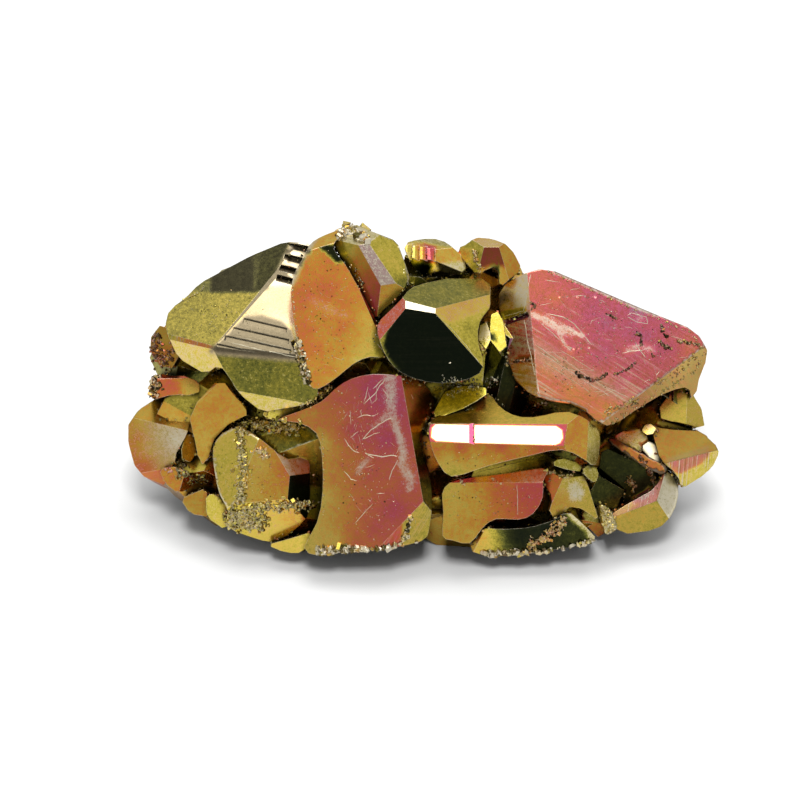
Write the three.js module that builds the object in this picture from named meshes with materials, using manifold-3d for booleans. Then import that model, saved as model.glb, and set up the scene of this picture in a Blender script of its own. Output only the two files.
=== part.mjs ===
// A palm-sized cluster of intergrown pyrite crystals under a thin tarnish of chalcopyrite.
// It grew as one piece, so it is one closed solid: flat crystal faces, curved edges where two
// crystals met while growing, stepped ledges, a grainy crust, and a broken foot that it rests on.
//
// Units are millimetres, +Z up. The showing side faces -Y. The origin is on the resting plane,
// under the middle of the cluster.

import * as THREE from "three";
import { mergeVertices } from "three/addons/utils/BufferGeometryUtils.js";
import Module from "manifold-3d";

const wasm = await Module();
wasm.setup();

// Driving dimensions.
const frontTilt = 60; // degrees that the front plane below is turned about X to stand up
const frontHeight = 13; // the middle of the front plane, above the resting plane
const deepest = 10; // how far the widest front crystals reach back into the cluster
const shallowest = 3; // and how far the smallest do at least
const depthShare = 1.3; // of a crystal's reach sideways, added to that
const growthRoom = 12; // room in front of a crystal's middle for its outermost face
const rearLean = -32; // how far the faces behind a front crystal turn away from its front
const rearFrom = 1.8; // crystals reaching further sideways than this have faces behind
const rearStart = 1; // where those faces begin, behind the crystal's middle
const rearTurn = 60; // degrees from one of them to the next
const rearShift = 12; // degrees that each may turn off that
const farAway = 40; // beyond everything
const roundFrom = 1.1; // corners rounded by less than this are plain cut corners
const cornerSteps = 2; // straight bits in a rounded corner

const material = { colour: 0xb89a45, roughness: 0.25, metalness: 1 };

// The front crystals are laid out in the front plane, the way the showing side is looked at:
// x to the right, y up the plane, z out of it, measured from the middle of the plane.
//   at        a point in the crystal
//   faces     [right, up, distance]: how many degrees the face turns to the right and up from
//             straight out, and how far it grew from that point
//   outline   [x, y] corners of the crystal's edge, where its neighbours stopped it
//   rounding  how far each corner of the outline is rounded off
const frontCrystals = [
  {
    name: "summit",
    at: [-16, 6.5, 6],
    faces: [
      [-15, 32, 3.8],
      [5, 20, 4],
      [1, -15, 5],
      [-5, -40, 6.4],
      [-25, -5, 5.4],
      [-30, -27, 5.4],
    ],
    rounding: 0.5,
    outline: [
      [-22.9, 6.8], [-23, 8], [-22.5, 9], [-21.2, 9.9], [-19.7, 11.5], [-14.7, 14.2],
      [-11.3, 15.6], [-8.6, 15.4], [-8, 0], [-9.8, -0.6], [-13.5, -1.2], [-15.7, 0.6],
      [-16.7, 2.3], [-17.6, 3.5], [-19, 2.5], [-21.7, 4.1], [-22.5, 5.9],
    ],
  },
  {
    name: "amber",
    at: [-6.5, 11, 6.5],
    faces: [
      [9, 10, 3.3],
      [-12, 52, 5],
      [56, 23, 3.4],
    ],
    rounding: 1.2,
    outline: [
      [-8.9, 15.2], [-8, 15.9], [-6.6, 16.5], [-5.4, 16.9], [-5.6, 16.2], [-6.9, 15],
      [-5.4, 13.4], [-4.4, 11.6], [-2.2, 7.6], [-2, 6], [-1.3, 4], [-2.9, 4.3], [-4.5, 3.6],
      [-6.2, 2.1], [-8, 0.9], [-8.9, 1.4], [-9.7, 4.4], [-10.4, 7.8], [-10.7, 10.5],
      [-10.3, 12.5], [-9.3, 14.1],
    ],
  },
  {
    name: "peak",
    at: [-2.5, 13, 6],
    faces: [
      [-30, -8, 3.4],
      [6, 12, 3.6],
      [33, 26, 3.2],
      [10, -14, 4.4],
      [-8, 55, 3.8],
    ],
    rounding: 0.4,
    outline: [
      [-6.6, 15.2], [-5.4, 17], [-4.6, 17.4], [-2.7, 16.5], [-0.3, 15.6], [0.5, 13.4],
      [1.1, 11.6], [0.3, 10.8], [-0.4, 9.8], [-1.9, 8.6], [-2.3, 7.8], [-3.1, 8.7],
      [-5.4, 13.5],
    ],
  },
  {
    name: "bud",
    at: [3.5, 14.5, 1],
    faces: [
      [5, 55, 2.3],
      [-7, 18, 3.4],
      [14, 11, 3.4],
      [-10, -40, 3.3],
    ],
    rounding: 0.5,
    outline: [
      [0.3, 15.5], [2, 16], [4, 16], [5.3, 15.1], [6.7, 13.6], [6.4, 12.5], [4.6, 12.5],
      [3.8, 13], [2.2, 11.9], [0.8, 14],
    ],
  },
  {
    name: "knob",
    at: [9, 14.5, 2],
    faces: [
      [-1, -1, 3.5],
      [38, 10, 3.3],
      [-36, 7, 3.3],
      [-1, 50, 2.7],
    ],
    rounding: 0.5,
    outline: [
      [5.5, 15], [6.9, 15.5], [7.1, 16], [8.3, 16.1], [9.9, 15.7], [10.9, 15.1], [11.7, 13.8],
      [12.1, 12.8], [11.2, 12.3], [9.8, 11], [9.7, 13.1], [8.7, 13.1], [7.7, 12.2],
      [6.3, 13.8],
    ],
  },
  {
    name: "mirror",
    at: [3.5, 8, 8],
    faces: [
      [0, 0, 4],
      [5, 28, 3.7],
      [-33, 24, 4.9],
      [18, 54, 2.8],
      [30, 24, 3.3],
    ],
    rounding: 1.6,
    outline: [
      [0.3, 9.9], [1, 11.1], [4.4, 11.9], [7.6, 12.4], [9, 11.9], [8.8, 10], [8.9, 9],
      [7.7, 7.8], [7.5, 5.6], [8.1, 4.1], [8, 2.5], [5.3, 1.6], [2.4, 1.7], [0, 2.6],
      [-1.2, 3.9], [-1.9, 5.4], [-2.4, 7.3], [-1.2, 8.5],
    ],
  },
  {
    name: "plate",
    at: [20, 4.5, 3.5],
    faces: [
      [6, 15, 3.3],
      [-33, 10, 7.1],
      [36, -25, 6.6],
      [53, -9, 9.1],
    ],
    rounding: 0.8,
    outline: [
      [9.7, 10], [10, 11.1], [10.9, 11.8], [12.9, 12.8], [14.6, 13], [19.7, 10.8], [24.6, 8.7],
      [29.1, 6.9], [30, 5.6], [30.6, 4.3], [29.7, 2.8], [29.3, 0.1], [28.5, 0.4], [28.9, 1.4],
      [26.4, 0.9], [23.6, -0.7], [20.9, -2.5], [19.7, -2.5], [17.5, -0.5], [13.9, 0],
      [11.8, 1.2], [10.9, 2.8], [10.1, 7.7],
    ],
  },
  {
    name: "bar",
    at: [12.5, -3.5, 8],
    faces: [
      [0, 27, 3.4],
      [0, 52, 2.9],
      [-1, -4, 4.3],
      [34, 18, 4.9],
      [60, 9, 6.1],
    ],
    rounding: 1.4,
    outline: [
      [2.7, -2.9], [3.2, -1.8], [4, -1.4], [6.8, -0.4], [8.8, 0.9], [9.5, -0.5], [10.9, -1.5],
      [12.8, -1.8], [16.5, -0.9], [19.4, -2.6], [19.7, -3.9], [19.2, -6.7], [18, -5.8],
      [15.8, -4.6], [12.6, -5.4], [8.7, -6.3], [4.8, -7.7], [3.7, -6.2], [3, -4.6],
    ],
  },
  {
    name: "slab",
    at: [-0.5, -7, 6],
    faces: [
      [-9, -6, 3.8],
      [51, 5, 4.4],
      [19, -29, 5.5],
    ],
    rounding: 1.8,
    outline: [
      [-12.5, -2], [-9.8, -1.1], [-7.6, -0.2], [-6.4, 1.1], [-4.9, 2.1], [-2.7, 2.6],
      [0.1, 2.4], [2, 2.1], [3.7, -0.1], [2.8, -2], [1.6, -3.5], [2.9, -6.8], [3.2, -9.8],
      [2.9, -12.7], [2.5, -13.9], [-1.5, -14.6], [-4.9, -14.7], [-8, -15.4], [-9.8, -14.7],
      [-8, -12.1], [-7.5, -8.8], [-7.6, -5.4], [-8, -3.1], [-10, -2.1],
    ],
  },
  {
    name: "brick",
    at: [9.5, -9.5, 5.5],
    faces: [
      [-1, -4, 3.1],
      [-1, 22, 3.5],
    ],
    rounding: 1.4,
    outline: [
      [4, -9.2], [4.7, -8], [6.9, -7.6], [9.8, -7.3], [14.2, -6.6], [14.6, -7], [13.9, -7.9],
      [14.1, -9.5], [13.1, -11.2], [11.7, -11.8], [9.3, -11.5], [8, -12.5], [6.9, -14.3],
      [5.1, -13.7], [4, -13.6], [4.3, -10.8],
    ],
  },
  {
    name: "wedge",
    at: [16, -8.5, 5],
    faces: [
      [8, 47, 2.9],
      [-21, 8, 3.3],
      [17, -9, 3.1],
    ],
    rounding: 0.5,
    outline: [
      [14.3, -6.9], [15.7, -6.3], [17.8, -6.9], [18.4, -8.2], [19.6, -12], [18.4, -11],
      [17.2, -10.4], [16.2, -10.6], [15.7, -11.6], [14.5, -11.3], [15, -9.5], [14.5, -8.9],
      [14, -7.8],
    ],
  },
  {
    name: "toe",
    at: [11, -13.5, 4],
    faces: [
      [0, -35, 2.5],
      [-49, -6, 4.3],
    ],
    rounding: 0.5,
    outline: [
      [6.7, -14.8], [7.8, -12.9], [8.2, -12.5], [9.8, -12.7], [12.8, -12.5], [15.3, -11.7],
      [16.4, -10.8], [17.9, -12.1], [19.5, -13.8], [17.2, -14.4], [14.2, -14.9], [11.8, -15.2],
      [8.8, -15.5],
    ],
  },
  {
    name: "far_left",
    at: [-24, -4, -2],
    faces: [
      [-4, 39, 4],
      [-17, -11, 3.3],
      [-5, -55, 4.1],
    ],
    rounding: 0.9,
    outline: [
      [-27.3, -3.2], [-26.9, -1.8], [-25.2, -0.2], [-23.4, 0.6], [-20.8, 0.9], [-21, -0.4],
      [-20.7, -2.2], [-21.7, -4.5], [-22.7, -5.8], [-22.1, -6.6], [-23.9, -7], [-22.9, -8.9],
      [-24.9, -8], [-26.2, -7.4], [-26.9, -5.5],
    ],
  },
  {
    name: "shoulder",
    at: [-18, -1, 2.5],
    faces: [
      [-2, 2, 3],
      [-35, 31, 3.4],
      [37, 25, 3.8],
    ],
    rounding: 1,
    outline: [
      [-20.7, -0.9], [-17.6, 2.4], [-16.8, 0.8], [-14.4, -1.3], [-16, -1.8], [-17.8, -3],
      [-18.8, -4.7], [-18.9, -6.3], [-20, -6.3], [-20, -4.2], [-20.7, -2.8],
    ],
  },
  {
    name: "ledge_left",
    at: [-22, 2, -1],
    faces: [
      [1, 10, 3.4],
      [-1, 55, 2.1],
    ],
    rounding: 0.6,
    outline: [
      [-24.8, 2.2], [-24.1, 2.7], [-23.1, 2.4], [-20.9, 2.4], [-19.5, 1.2], [-20.4, 0.4],
      [-22.4, 0.6], [-25, -0.1],
    ],
  },
  {
    name: "nub_left",
    at: [-23.5, 5, -1],
    faces: [
      [-10, 0, 2.9],
    ],
    rounding: 0.8,
    outline: [
      [-25.1, 5.8], [-24.4, 6.8], [-23.5, 7.9], [-22.9, 6.4], [-22, 5.5], [-22.1, 3.4],
      [-23.3, 3], [-24.5, 3.8],
    ],
  },
  {
    name: "moat",
    at: [-13, -8.5, 4],
    faces: [
      [2, -5, 3.4],
      [-26, 6, 4.3],
      [33, 13, 4.2],
      [35, -7, 3.9],
      [5, -34, 3.5],
    ],
    rounding: 1.2,
    outline: [
      [-18.6, -4.7], [-17.6, -3.2], [-15.7, -2.5], [-13.5, -3.9], [-11, -6.1], [-8.9, -5.2],
      [-8.9, -9.8], [-9, -11.6], [-11.2, -13.5], [-12.6, -14.2], [-14.9, -13.5],
      [-17.4, -12.5], [-16.7, -10.9], [-17.8, -9.4], [-18.3, -6.9],
    ],
  },
  {
    name: "right_cap",
    at: [28.5, -1, -0.5],
    faces: [
      [-8, 10, 3.1],
      [34, 7, 2.6],
    ],
    rounding: 0.9,
    outline: [
      [25.7, -1.4], [26, -0.1], [27.3, 0.7], [28.7, 0.9], [29.6, 0.1], [30.4, -1.8],
      [30.2, -3.2], [28.2, -2.1], [26.2, -2.2],
    ],
  },
  {
    name: "right_keel",
    at: [28.5, -5.5, 1.5],
    faces: [
      [4, 29, 2.9],
      [16, -17, 3.2],
    ],
    rounding: 0.5,
    outline: [
      [24.8, -2.5], [26.5, -2.9], [30.1, -3.1], [30.8, -4.2], [31.6, -4.6], [31.4, -6],
      [30.3, -7.3], [28.7, -8.3], [27.9, -8.8], [27.4, -7.3], [25.7, -6],
    ],
  },
  {
    name: "prow",
    at: [25, -10.5, 1.5],
    faces: [
      [-3, 15, 3.6],
      [12, -23, 3.1],
      [40, 0, 3],
    ],
    rounding: 0.6,
    outline: [
      [20.5, -11.5], [21.7, -10.7], [25.3, -8.7], [25.7, -7.7], [26.4, -6.8], [27.6, -7.9],
      [27.6, -10.1], [26.5, -12.1], [25.2, -12.9], [21.9, -13.3],
    ],
  },
  {
    name: "strut",
    at: [23.5, -5.5, 2.5],
    faces: [
      [-8, 20, 2.8],
    ],
    rounding: 0.3,
    outline: [
      [20.3, -4], [20.9, -3.6], [26.4, -6.6], [26, -7.4], [24.2, -6.7],
    ],
  },
  {
    name: "green_step",
    at: [6, -0, 6.5],
    faces: [
      [-4, 34, 2.3],
    ],
    rounding: 0.8,
    outline: [
      [3, -2], [3.7, -0.2], [4.9, 1.4], [7.6, 1.4], [9.1, 1], [6.8, -0.6], [4.1, -1.6],
    ],
  },
  {
    name: "glint_left",
    at: [8.5, 6.5, 3.5],
    faces: [
      [-3, 26, 2.7],
    ],
    rounding: 0.9,
    outline: [
      [7.6, 6.9], [8.2, 7.8], [8.8, 7.5], [9, 5], [7.8, 5.1],
    ],
  },
  {
    name: "glint_right",
    at: [9.5, 6.5, 3],
    faces: [
      [10, 24, 2.9],
    ],
    rounding: 0.8,
    outline: [
      [8.8, 7.9], [9.2, 8.9], [10.1, 8.5], [10.6, 4.5], [9, 5],
    ],
  },
  {
    name: "spark",
    at: [-2, 3, 3.5],
    faces: [
      [-12, 24, 2.8],
      [14, 10, 2.7],
    ],
    rounding: 0.3,
    outline: [
      [-3.9, 3.8], [-2.2, 4], [0.2, 2.6], [-1.5, 2], [-2.8, 2.4],
    ],
  },
  {
    name: "cleft",
    at: [-21, -4.5, -1],
    faces: [
      [20, 10, 2.7],
    ],
    rounding: 0.6,
    outline: [
      [-21.9, -5.5], [-21.2, -2.9], [-20.2, -4], [-20.4, -6], [-21.4, -6.3],
    ],
  },
  {
    name: "claw",
    at: [-22, -8, -0.5],
    faces: [
      [-12, 5, 2.9],
      [35, -9, 2.7],
    ],
    rounding: 0.4,
    outline: [
      [-24, -6.8], [-22.1, -6.6], [-20.2, -8], [-20.7, -8.6], [-22, -9.3], [-23.4, -8.3],
    ],
  },
  {
    name: "chip",
    at: [-20, -10.5, 0.5],
    faces: [
      [-8, -6, 2.9],
    ],
    rounding: 0.4,
    outline: [
      [-21.8, -9.8], [-19.2, -8.7], [-18.8, -11.6], [-20.8, -11.3],
    ],
  },
  {
    name: "fleck",
    at: [-18, -11, 1.5],
    faces: [
      [5, -18, 2.8],
    ],
    rounding: 0.4,
    outline: [
      [-19.2, -9.3], [-18, -9.3], [-16.5, -11.2], [-17.3, -12.9], [-19.1, -11.6],
    ],
  },
  {
    name: "pip",
    at: [23.5, -4, 0.5],
    faces: [
      [-10, 15, 2.9],
    ],
    rounding: 0.5,
    outline: [
      [20.8, -3.7], [22.8, -2.8], [24.1, -2.9], [25, -4.7], [23.9, -5.4],
    ],
  },
  {
    name: "glow_high",
    at: [24.5, -3, 1],
    faces: [
      [0, 27, 2.9],
    ],
    rounding: 0.4,
    outline: [
      [23.9, -2.5], [25.2, -2.3], [25.4, -3.3], [24, -3.5],
    ],
  },
  {
    name: "glow_low",
    at: [25, -5, 1.5],
    faces: [
      [4, 26, 2.6],
    ],
    rounding: 0.4,
    outline: [
      [23.7, -4.7], [24.9, -3.9], [26.3, -6], [25.2, -6.2],
    ],
  },
  {
    name: "well",
    at: [22, -8, -1.5],
    faces: [
      [-6, -14, 2.8],
    ],
    rounding: 0.6,
    outline: [
      [20.1, -4.6], [25.1, -6.8], [25.9, -8.2], [23.9, -9.8], [21.1, -11.2], [19.5, -9.8],
    ],
  },
  {
    name: "spur",
    at: [20.5, -12, 3],
    faces: [
      [10, 0, 2.9],
    ],
    rounding: 0.3,
    outline: [
      [19.5, -10.1], [20.8, -10.8], [21.5, -12.7], [20.2, -13.4],
    ],
  },
  {
    name: "foot_chip",
    at: [-10.5, -14, 2.5],
    faces: [
      [-10, -20, 2.9],
    ],
    rounding: 0.5,
    outline: [
      [-13.2, -14.3], [-11, -13.7], [-8.5, -12.9], [-9.5, -15.1], [-11.3, -15.1],
    ],
  },
  {
    name: "end_cap",
    at: [18.5, -7, 5.5],
    faces: [
      [10, -4, 3],
    ],
    rounding: 0.3,
    outline: [
      [17.7, -6.9], [18.6, -6.2], [19.5, -6.9], [19.2, -8.2], [18.4, -7.7],
    ],
  },
  {
    name: "sliver",
    at: [16.5, -6.5, 5.5],
    faces: [
      [5, 0, 3],
    ],
    rounding: 0.4,
    outline: [
      [14.7, -6.3], [15.7, -5.6], [17.6, -6.2], [18, -7], [16.6, -6.9],
    ],
  },
  {
    name: "root",
    at: [1, 13, 0.5],
    faces: [
      [-28, -8, 2.4],
    ],
    rounding: 0.4,
    outline: [
      [0.2, 14.1], [0.9, 14.3], [2.4, 12], [0.9, 11.4],
    ],
  },
  {
    name: "band",
    at: [-10, -0.5, 4],
    faces: [
      [-5, -20, 2.8],
    ],
    rounding: 0.4,
    outline: [
      [-13.8, -1.2], [-9.8, -0.2], [-6.8, 1.6], [-6.5, 0.9], [-9.8, -1.2], [-12.8, -2.1],
    ],
  },
  {
    name: "shard",
    at: [-5, 2.5, 3],
    faces: [
      [-20, -30, 2.3],
    ],
    rounding: 0.5,
    outline: [
      [-6.9, 0.9], [-5.6, 2.8], [-3.7, 4], [-2.6, 2.5], [-4.9, 1.9],
    ],
  },
  {
    name: "side_chip",
    at: [1.5, -3.5, 4],
    faces: [
      [20, 14, 2.7],
    ],
    rounding: 0.3,
    outline: [
      [1, -2.8], [2.1, -2.7], [2.3, -4], [1.3, -4.1],
    ],
  },
];

// Growth steps on one face of a front crystal. Each line is [x, y, x, y] in the front plane. A
// step drops by depth at its line, and climbs back to the face on the line's right-hand side,
// over its width.
const growthSteps = [
  {
    crystal: "summit", // the striped lower half of the bright face
    face: 1,
    depth: 0.14,
    width: 0.6,
    lines: [
      [-15.2, 8, -11, 7],
      [-16.2, 7.1, -10.8, 5.9],
      [-17, 6.3, -10.6, 4.9],
      [-17.8, 5.5, -10.4, 3.9],
      [-18.6, 4.8, -10.3, 3.1],
    ],
  },
  {
    crystal: "summit", // the stair beside the top of the ridge
    face: 1,
    depth: 0.45,
    width: 0.7,
    lines: [
      [-11.1, 15.6, -8.5, 15],
      [-11.3, 14.4, -8.9, 13.8],
      [-11.7, 13.3, -9.3, 12.7],
      [-12, 12.3, -9.7, 11.7],
    ],
  },
  {
    crystal: "bud",
    face: 1,
    depth: 0.2,
    width: 0.5,
    lines: [
      [1.3, 17, 1.1, 13],
      [2, 17, 1.9, 13],
      [2.7, 17, 2.7, 13],
      [3.4, 17, 3.5, 13],
    ],
  },
  { crystal: "plate", face: 1, depth: 0.35, width: 0.6, lines: [[10, 7.8, 12.6, 8.7]] },
  { crystal: "bar", face: 0, depth: 0.06, width: 0.5, lines: [[7.2, -1.5, 7.2, -5]] },
];

// Grainy crust: lumps strewn along a line of [x, y, z] points in the front plane.
const crusts = [
  {
    along: [[-17, -2.9, 3.6], [-14, -2.6, 4.8], [-11, -2.5, 4.9], [-8.4, -3, 4.4]],
    lumps: 12,
    spread: 0.4,
  },
  { along: [[-15.6, -4.6, 5.2], [-15.4, -7, 5.8], [-14.8, -9.4, 6.6]], lumps: 6, spread: 0.3 },
  { along: [[-6.4, 16.2, 4.6], [-5, 16.9, 4.6], [-3.4, 16.5, 5]], lumps: 7, spread: 0.4 },
  { along: [[-10.2, 4.6, 6.6], [-9.4, 2.6, 7.4], [-8.7, 1.3, 7.4]], lumps: 6, spread: 0.3 },
];
const lumpRadius = [0.5, 0.9];

// The mass that the crystals grew on: lumps behind the front plane, and the middle of the
// cluster in the standing frame.
const frontCores = [
  { at: [1, 0, -2.5], radii: [23, 11.5, 6] },
  { at: [-12, 8, -4], radii: [9, 6, 5] },
  { at: [16, 4, -4], radii: [9, 6, 5] },
  { at: [6.5, 10.5, -2.5], radii: [7, 3.6, 4] },
  { at: [9, -9.5, -1.5], radii: [13.5, 4.2, 4.5] },
  { at: [-18, -6.5, -3], radii: [6.5, 4.5, 4.5] },
  { at: [-10, -10.5, -1], radii: [6.5, 3.8, 4.5] },
  { at: [-12.5, -3, 1], radii: [5.5, 2, 4] },
  { at: [25.5, -3.5, -2], radii: [4, 3.5, 3] },
  { at: [-20.5, 4.5, -3.5], radii: [4, 4.5, 4] },
  { at: [19.5, -9.5, -1], radii: [3.5, 3.5, 3.5] },
];
const backCore = { at: [0.5, 4.5, 10], radii: [18.5, 7.5, 7.5] };
const lumpSides = 18;
const lumpSideGrowth = [0.93, 1]; // of the egg shape's reach
const lumpSideShift = 15; // degrees

// Crystals of the back, the ends and the top, in the standing frame. Each grew outwards from
// at, turned from +X towards +Y and tilted up by these degrees.
const backCrystals = [
  { at: [24, 0, 6.5], turn: -5, tilt: 0, size: 5.5 },
  { at: [22.5, 5.5, 11], turn: 20, tilt: 20, size: 6.5 },
  { at: [20, 9.5, 7], turn: 45, tilt: -5, size: 7 },
  { at: [16, 8.5, 13.5], turn: 60, tilt: 40, size: 7 },
  { at: [10.5, 11.5, 8.5], turn: 78, tilt: 5, size: 8 },
  { at: [5.5, 9, 15.5], turn: 85, tilt: 40, size: 7.5 },
  { at: [0.5, 12, 6], turn: 92, tilt: -8, size: 7 },
  { at: [-4, 10.5, 14.5], turn: 98, tilt: 30, size: 8.5 },
  { at: [-9, 11.5, 7], turn: 108, tilt: 0, size: 7.5 },
  { at: [-14.5, 8.5, 13], turn: 125, tilt: 30, size: 7.5 },
  { at: [-11, 4, 19], turn: 110, tilt: 62, size: 7 },
  { at: [-18, 8, 6.5], turn: 140, tilt: -2, size: 7 },
  { at: [-20.5, 3, 12], turn: 165, tilt: 25, size: 6 },
  { at: [-22.5, 1, 6.5], turn: 185, tilt: -5, size: 5 },
  { at: [0, 4, 21], turn: 80, tilt: 70, size: 7.5 },
  { at: [11, 2.5, 17.5], turn: 60, tilt: 65, size: 6.5 },
  { at: [19, 3, 13.5], turn: 30, tilt: 55, size: 5.5 },
];
// The habit of those crystals. Lengths are shares of the size, angles are degrees.
const habit = {
  corners: 7, // of the outline
  cornerReach: [0.85, 1.12],
  height: 0.85, // of the outline, against its width
  rounding: 0.3,
  cornerShift: 0.3, // of the step from one corner to the next
  mainFaceGrowth: [0.42, 0.55],
  mainFaceLean: 10,
  sideFaces: 3,
  sideFaceGrowth: [0.62, 0.8],
  sideFaceLean: [38, 58],
  sideFaceShift: 25,
};

// The broken foot: how each side of the block turns from +X towards +Y, leans down, and how
// far it stands from the point at on the resting plane.
const foot = {
  at: [1, 3, 0],
  sides: [
    [0, -38, 18], [38, -30, 15], [75, -42, 9], [105, -34, 9.5], [140, -40, 13],
    [180, -36, 17], [222, -45, 11], [262, -45, 7], [285, -45, 7], [322, -40, 11],
  ],
  top: 5,
};
const groundBlock = { width: 200, thickness: 80 }; // what is cut away below the resting plane

// A small generator of repeatable random numbers.
let randomState = 20;
function random(low = 0, high = 1) {
  randomState = (randomState * 16807) % 2147483647;
  return low + ((high - low) * randomState) / 2147483647;
}

// The unit vector that is turned right and up, in degrees, from straight out of the plane.
function facing(right, up) {
  const r = THREE.MathUtils.degToRad(right);
  const u = THREE.MathUtils.degToRad(up);
  return new THREE.Vector3(Math.sin(r) * Math.cos(u), Math.sin(u), Math.cos(r) * Math.cos(u));
}

// The unit vector of a heading in the standing frame, turned from +X towards +Y and tilted up.
function heading(turn, tilt) {
  const t = THREE.MathUtils.degToRad(turn);
  const u = THREE.MathUtils.degToRad(tilt);
  return new THREE.Vector3(Math.cos(t) * Math.cos(u), Math.sin(t) * Math.cos(u), Math.sin(u));
}

function solidOf(geometry) {
  const bare = geometry.index ? geometry.toNonIndexed() : geometry.clone();
  bare.deleteAttribute("normal");
  bare.deleteAttribute("uv");
  const merged = mergeVertices(bare, 1e-4);
  return new wasm.Manifold(
    new wasm.Mesh({
      numProp: 3,
      vertProperties: merged.attributes.position.array,
      triVerts: new Uint32Array(merged.index.array),
    }),
  );
}

function geometryOf(solid) {
  const mesh = solid.getMesh();
  const geometry = new THREE.BufferGeometry();
  geometry.setAttribute("position", new THREE.BufferAttribute(mesh.vertProperties, 3));
  geometry.setIndex(new THREE.BufferAttribute(mesh.triVerts, 1));
  return geometry;
}

// A plane through the point that lies distance from at along the normal.
function planeAt(normal, at, distance) {
  return { normal, distance: distance + normal.dot(at) };
}

// The point where three planes meet, or null where two of them are parallel.
function meetingPoint(a, b, c) {
  const bc = new THREE.Vector3().crossVectors(b.normal, c.normal);
  const volume = a.normal.dot(bc);
  if (Math.abs(volume) < 1e-6) return null;
  const ca = new THREE.Vector3().crossVectors(c.normal, a.normal);
  const ab = new THREE.Vector3().crossVectors(a.normal, b.normal);
  return bc
    .multiplyScalar(a.distance)
    .addScaledVector(ca, b.distance)
    .addScaledVector(ab, c.distance)
    .divideScalar(volume);
}

// The convex block inside a set of planes, as a closed mesh of its flat faces.
function blockInside(planes) {
  const near = 1e-4;
  const corners = [];
  for (let i = 0; i < planes.length; i++) {
    for (let j = i + 1; j < planes.length; j++) {
      for (let k = j + 1; k < planes.length; k++) {
        const corner = meetingPoint(planes[i], planes[j], planes[k]);
        if (!corner) continue;
        if (planes.some((p) => p.normal.dot(corner) > p.distance + near / 10)) continue;
        if (!corners.some((seen) => seen.distanceTo(corner) < near)) corners.push(corner);
      }
    }
  }
  const positions = [];
  for (const { normal, distance } of planes) {
    const onFace = corners.filter((p) => Math.abs(normal.dot(p) - distance) < near);
    if (onFace.length < 3) continue;
    const middle = onFace.reduce((sum, p) => sum.add(p), new THREE.Vector3());
    middle.divideScalar(onFace.length);
    const along = onFace[0].clone().sub(middle).normalize();
    const beside = new THREE.Vector3().crossVectors(normal, along);
    const angle = (p) => {
      const arm = p.clone().sub(middle);
      return Math.atan2(arm.dot(beside), arm.dot(along));
    };
    onFace.sort((p, q) => angle(p) - angle(q));
    for (let i = 1; i + 1 < onFace.length; i++) {
      for (const p of [onFace[0], onFace[i], onFace[i + 1]]) positions.push(p.x, p.y, p.z);
    }
  }
  const geometry = new THREE.BufferGeometry();
  geometry.setAttribute("position", new THREE.Float32BufferAttribute(positions, 3));
  return geometry;
}

// A closed outline whose corners are rounded off.
function roundedShape(points, rounding) {
  const corners = points.map(([x, y]) => new THREE.Vector2(x, y));
  const shape = new THREE.Shape();
  corners.forEach((corner, i) => {
    const before = corners[(i + corners.length - 1) % corners.length];
    const after = corners[(i + 1) % corners.length];
    const towards = (other) => {
      const share = Math.min(0.45, rounding / corner.distanceTo(other));
      return corner.clone().lerp(other, share);
    };
    const start = towards(before);
    const end = towards(after);
    if (i === 0) shape.moveTo(start.x, start.y);
    else shape.lineTo(start.x, start.y);
    if (rounding < roundFrom) shape.lineTo(end.x, end.y);
    else shape.quadraticCurveTo(corner.x, corner.y, end.x, end.y);
  });
  shape.closePath();
  return shape;
}

// How far the outline reaches sideways from a crystal's middle.
function reachOf({ at, outline }) {
  return Math.max(...outline.map(([x, y]) => Math.hypot(x - at[0], y - at[1])));
}

// The faces behind a front crystal: six that close in behind its outline.
function rearPlanes({ at, outline }) {
  const behind = new THREE.Vector3(...at).add(new THREE.Vector3(0, 0, -rearStart));
  const firstTurn = random(0, rearTurn);
  return [0, 1, 2, 3, 4, 5].map((step) => {
    const sideways = heading(firstTurn + step * rearTurn + random(-rearShift, rearShift), 0);
    const reaches = outline.map(([x, y]) => sideways.x * (x - at[0]) + sideways.y * (y - at[1]));
    const lean = THREE.MathUtils.degToRad(rearLean);
    const normal = sideways.clone().multiplyScalar(Math.cos(lean));
    normal.z = Math.sin(lean);
    return planeAt(normal, behind.clone().addScaledVector(sideways, Math.max(...reaches)), 0);
  });
}

// A crystal in its front plane: the block inside its faces, within its outline.
function crystal(shape, extraPlanes = []) {
  const { at, faces, outline, rounding } = shape;
  const middle = new THREE.Vector3(...at);
  const crystalDepth = Math.min(deepest, shallowest + depthShare * reachOf(shape));
  const side = (right, up) => planeAt(facing(right, up), middle, farAway);
  const block = blockInside([
    ...faces.map(([right, up, distance]) => planeAt(facing(right, up), middle, distance)),
    ...[-90, 90].flatMap((angle) => [side(angle, 0), side(0, angle)]),
    ...extraPlanes,
    planeAt(facing(180, 0), middle, crystalDepth),
  ]);
  const prism = new THREE.ExtrudeGeometry(roundedShape(outline, rounding), {
    depth: crystalDepth + growthRoom,
    bevelEnabled: false,
    curveSegments: cornerSteps,
  });
  prism.translate(0, 0, at[2] - crystalDepth);
  return solidOf(block).intersect(solidOf(prism));
}

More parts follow.
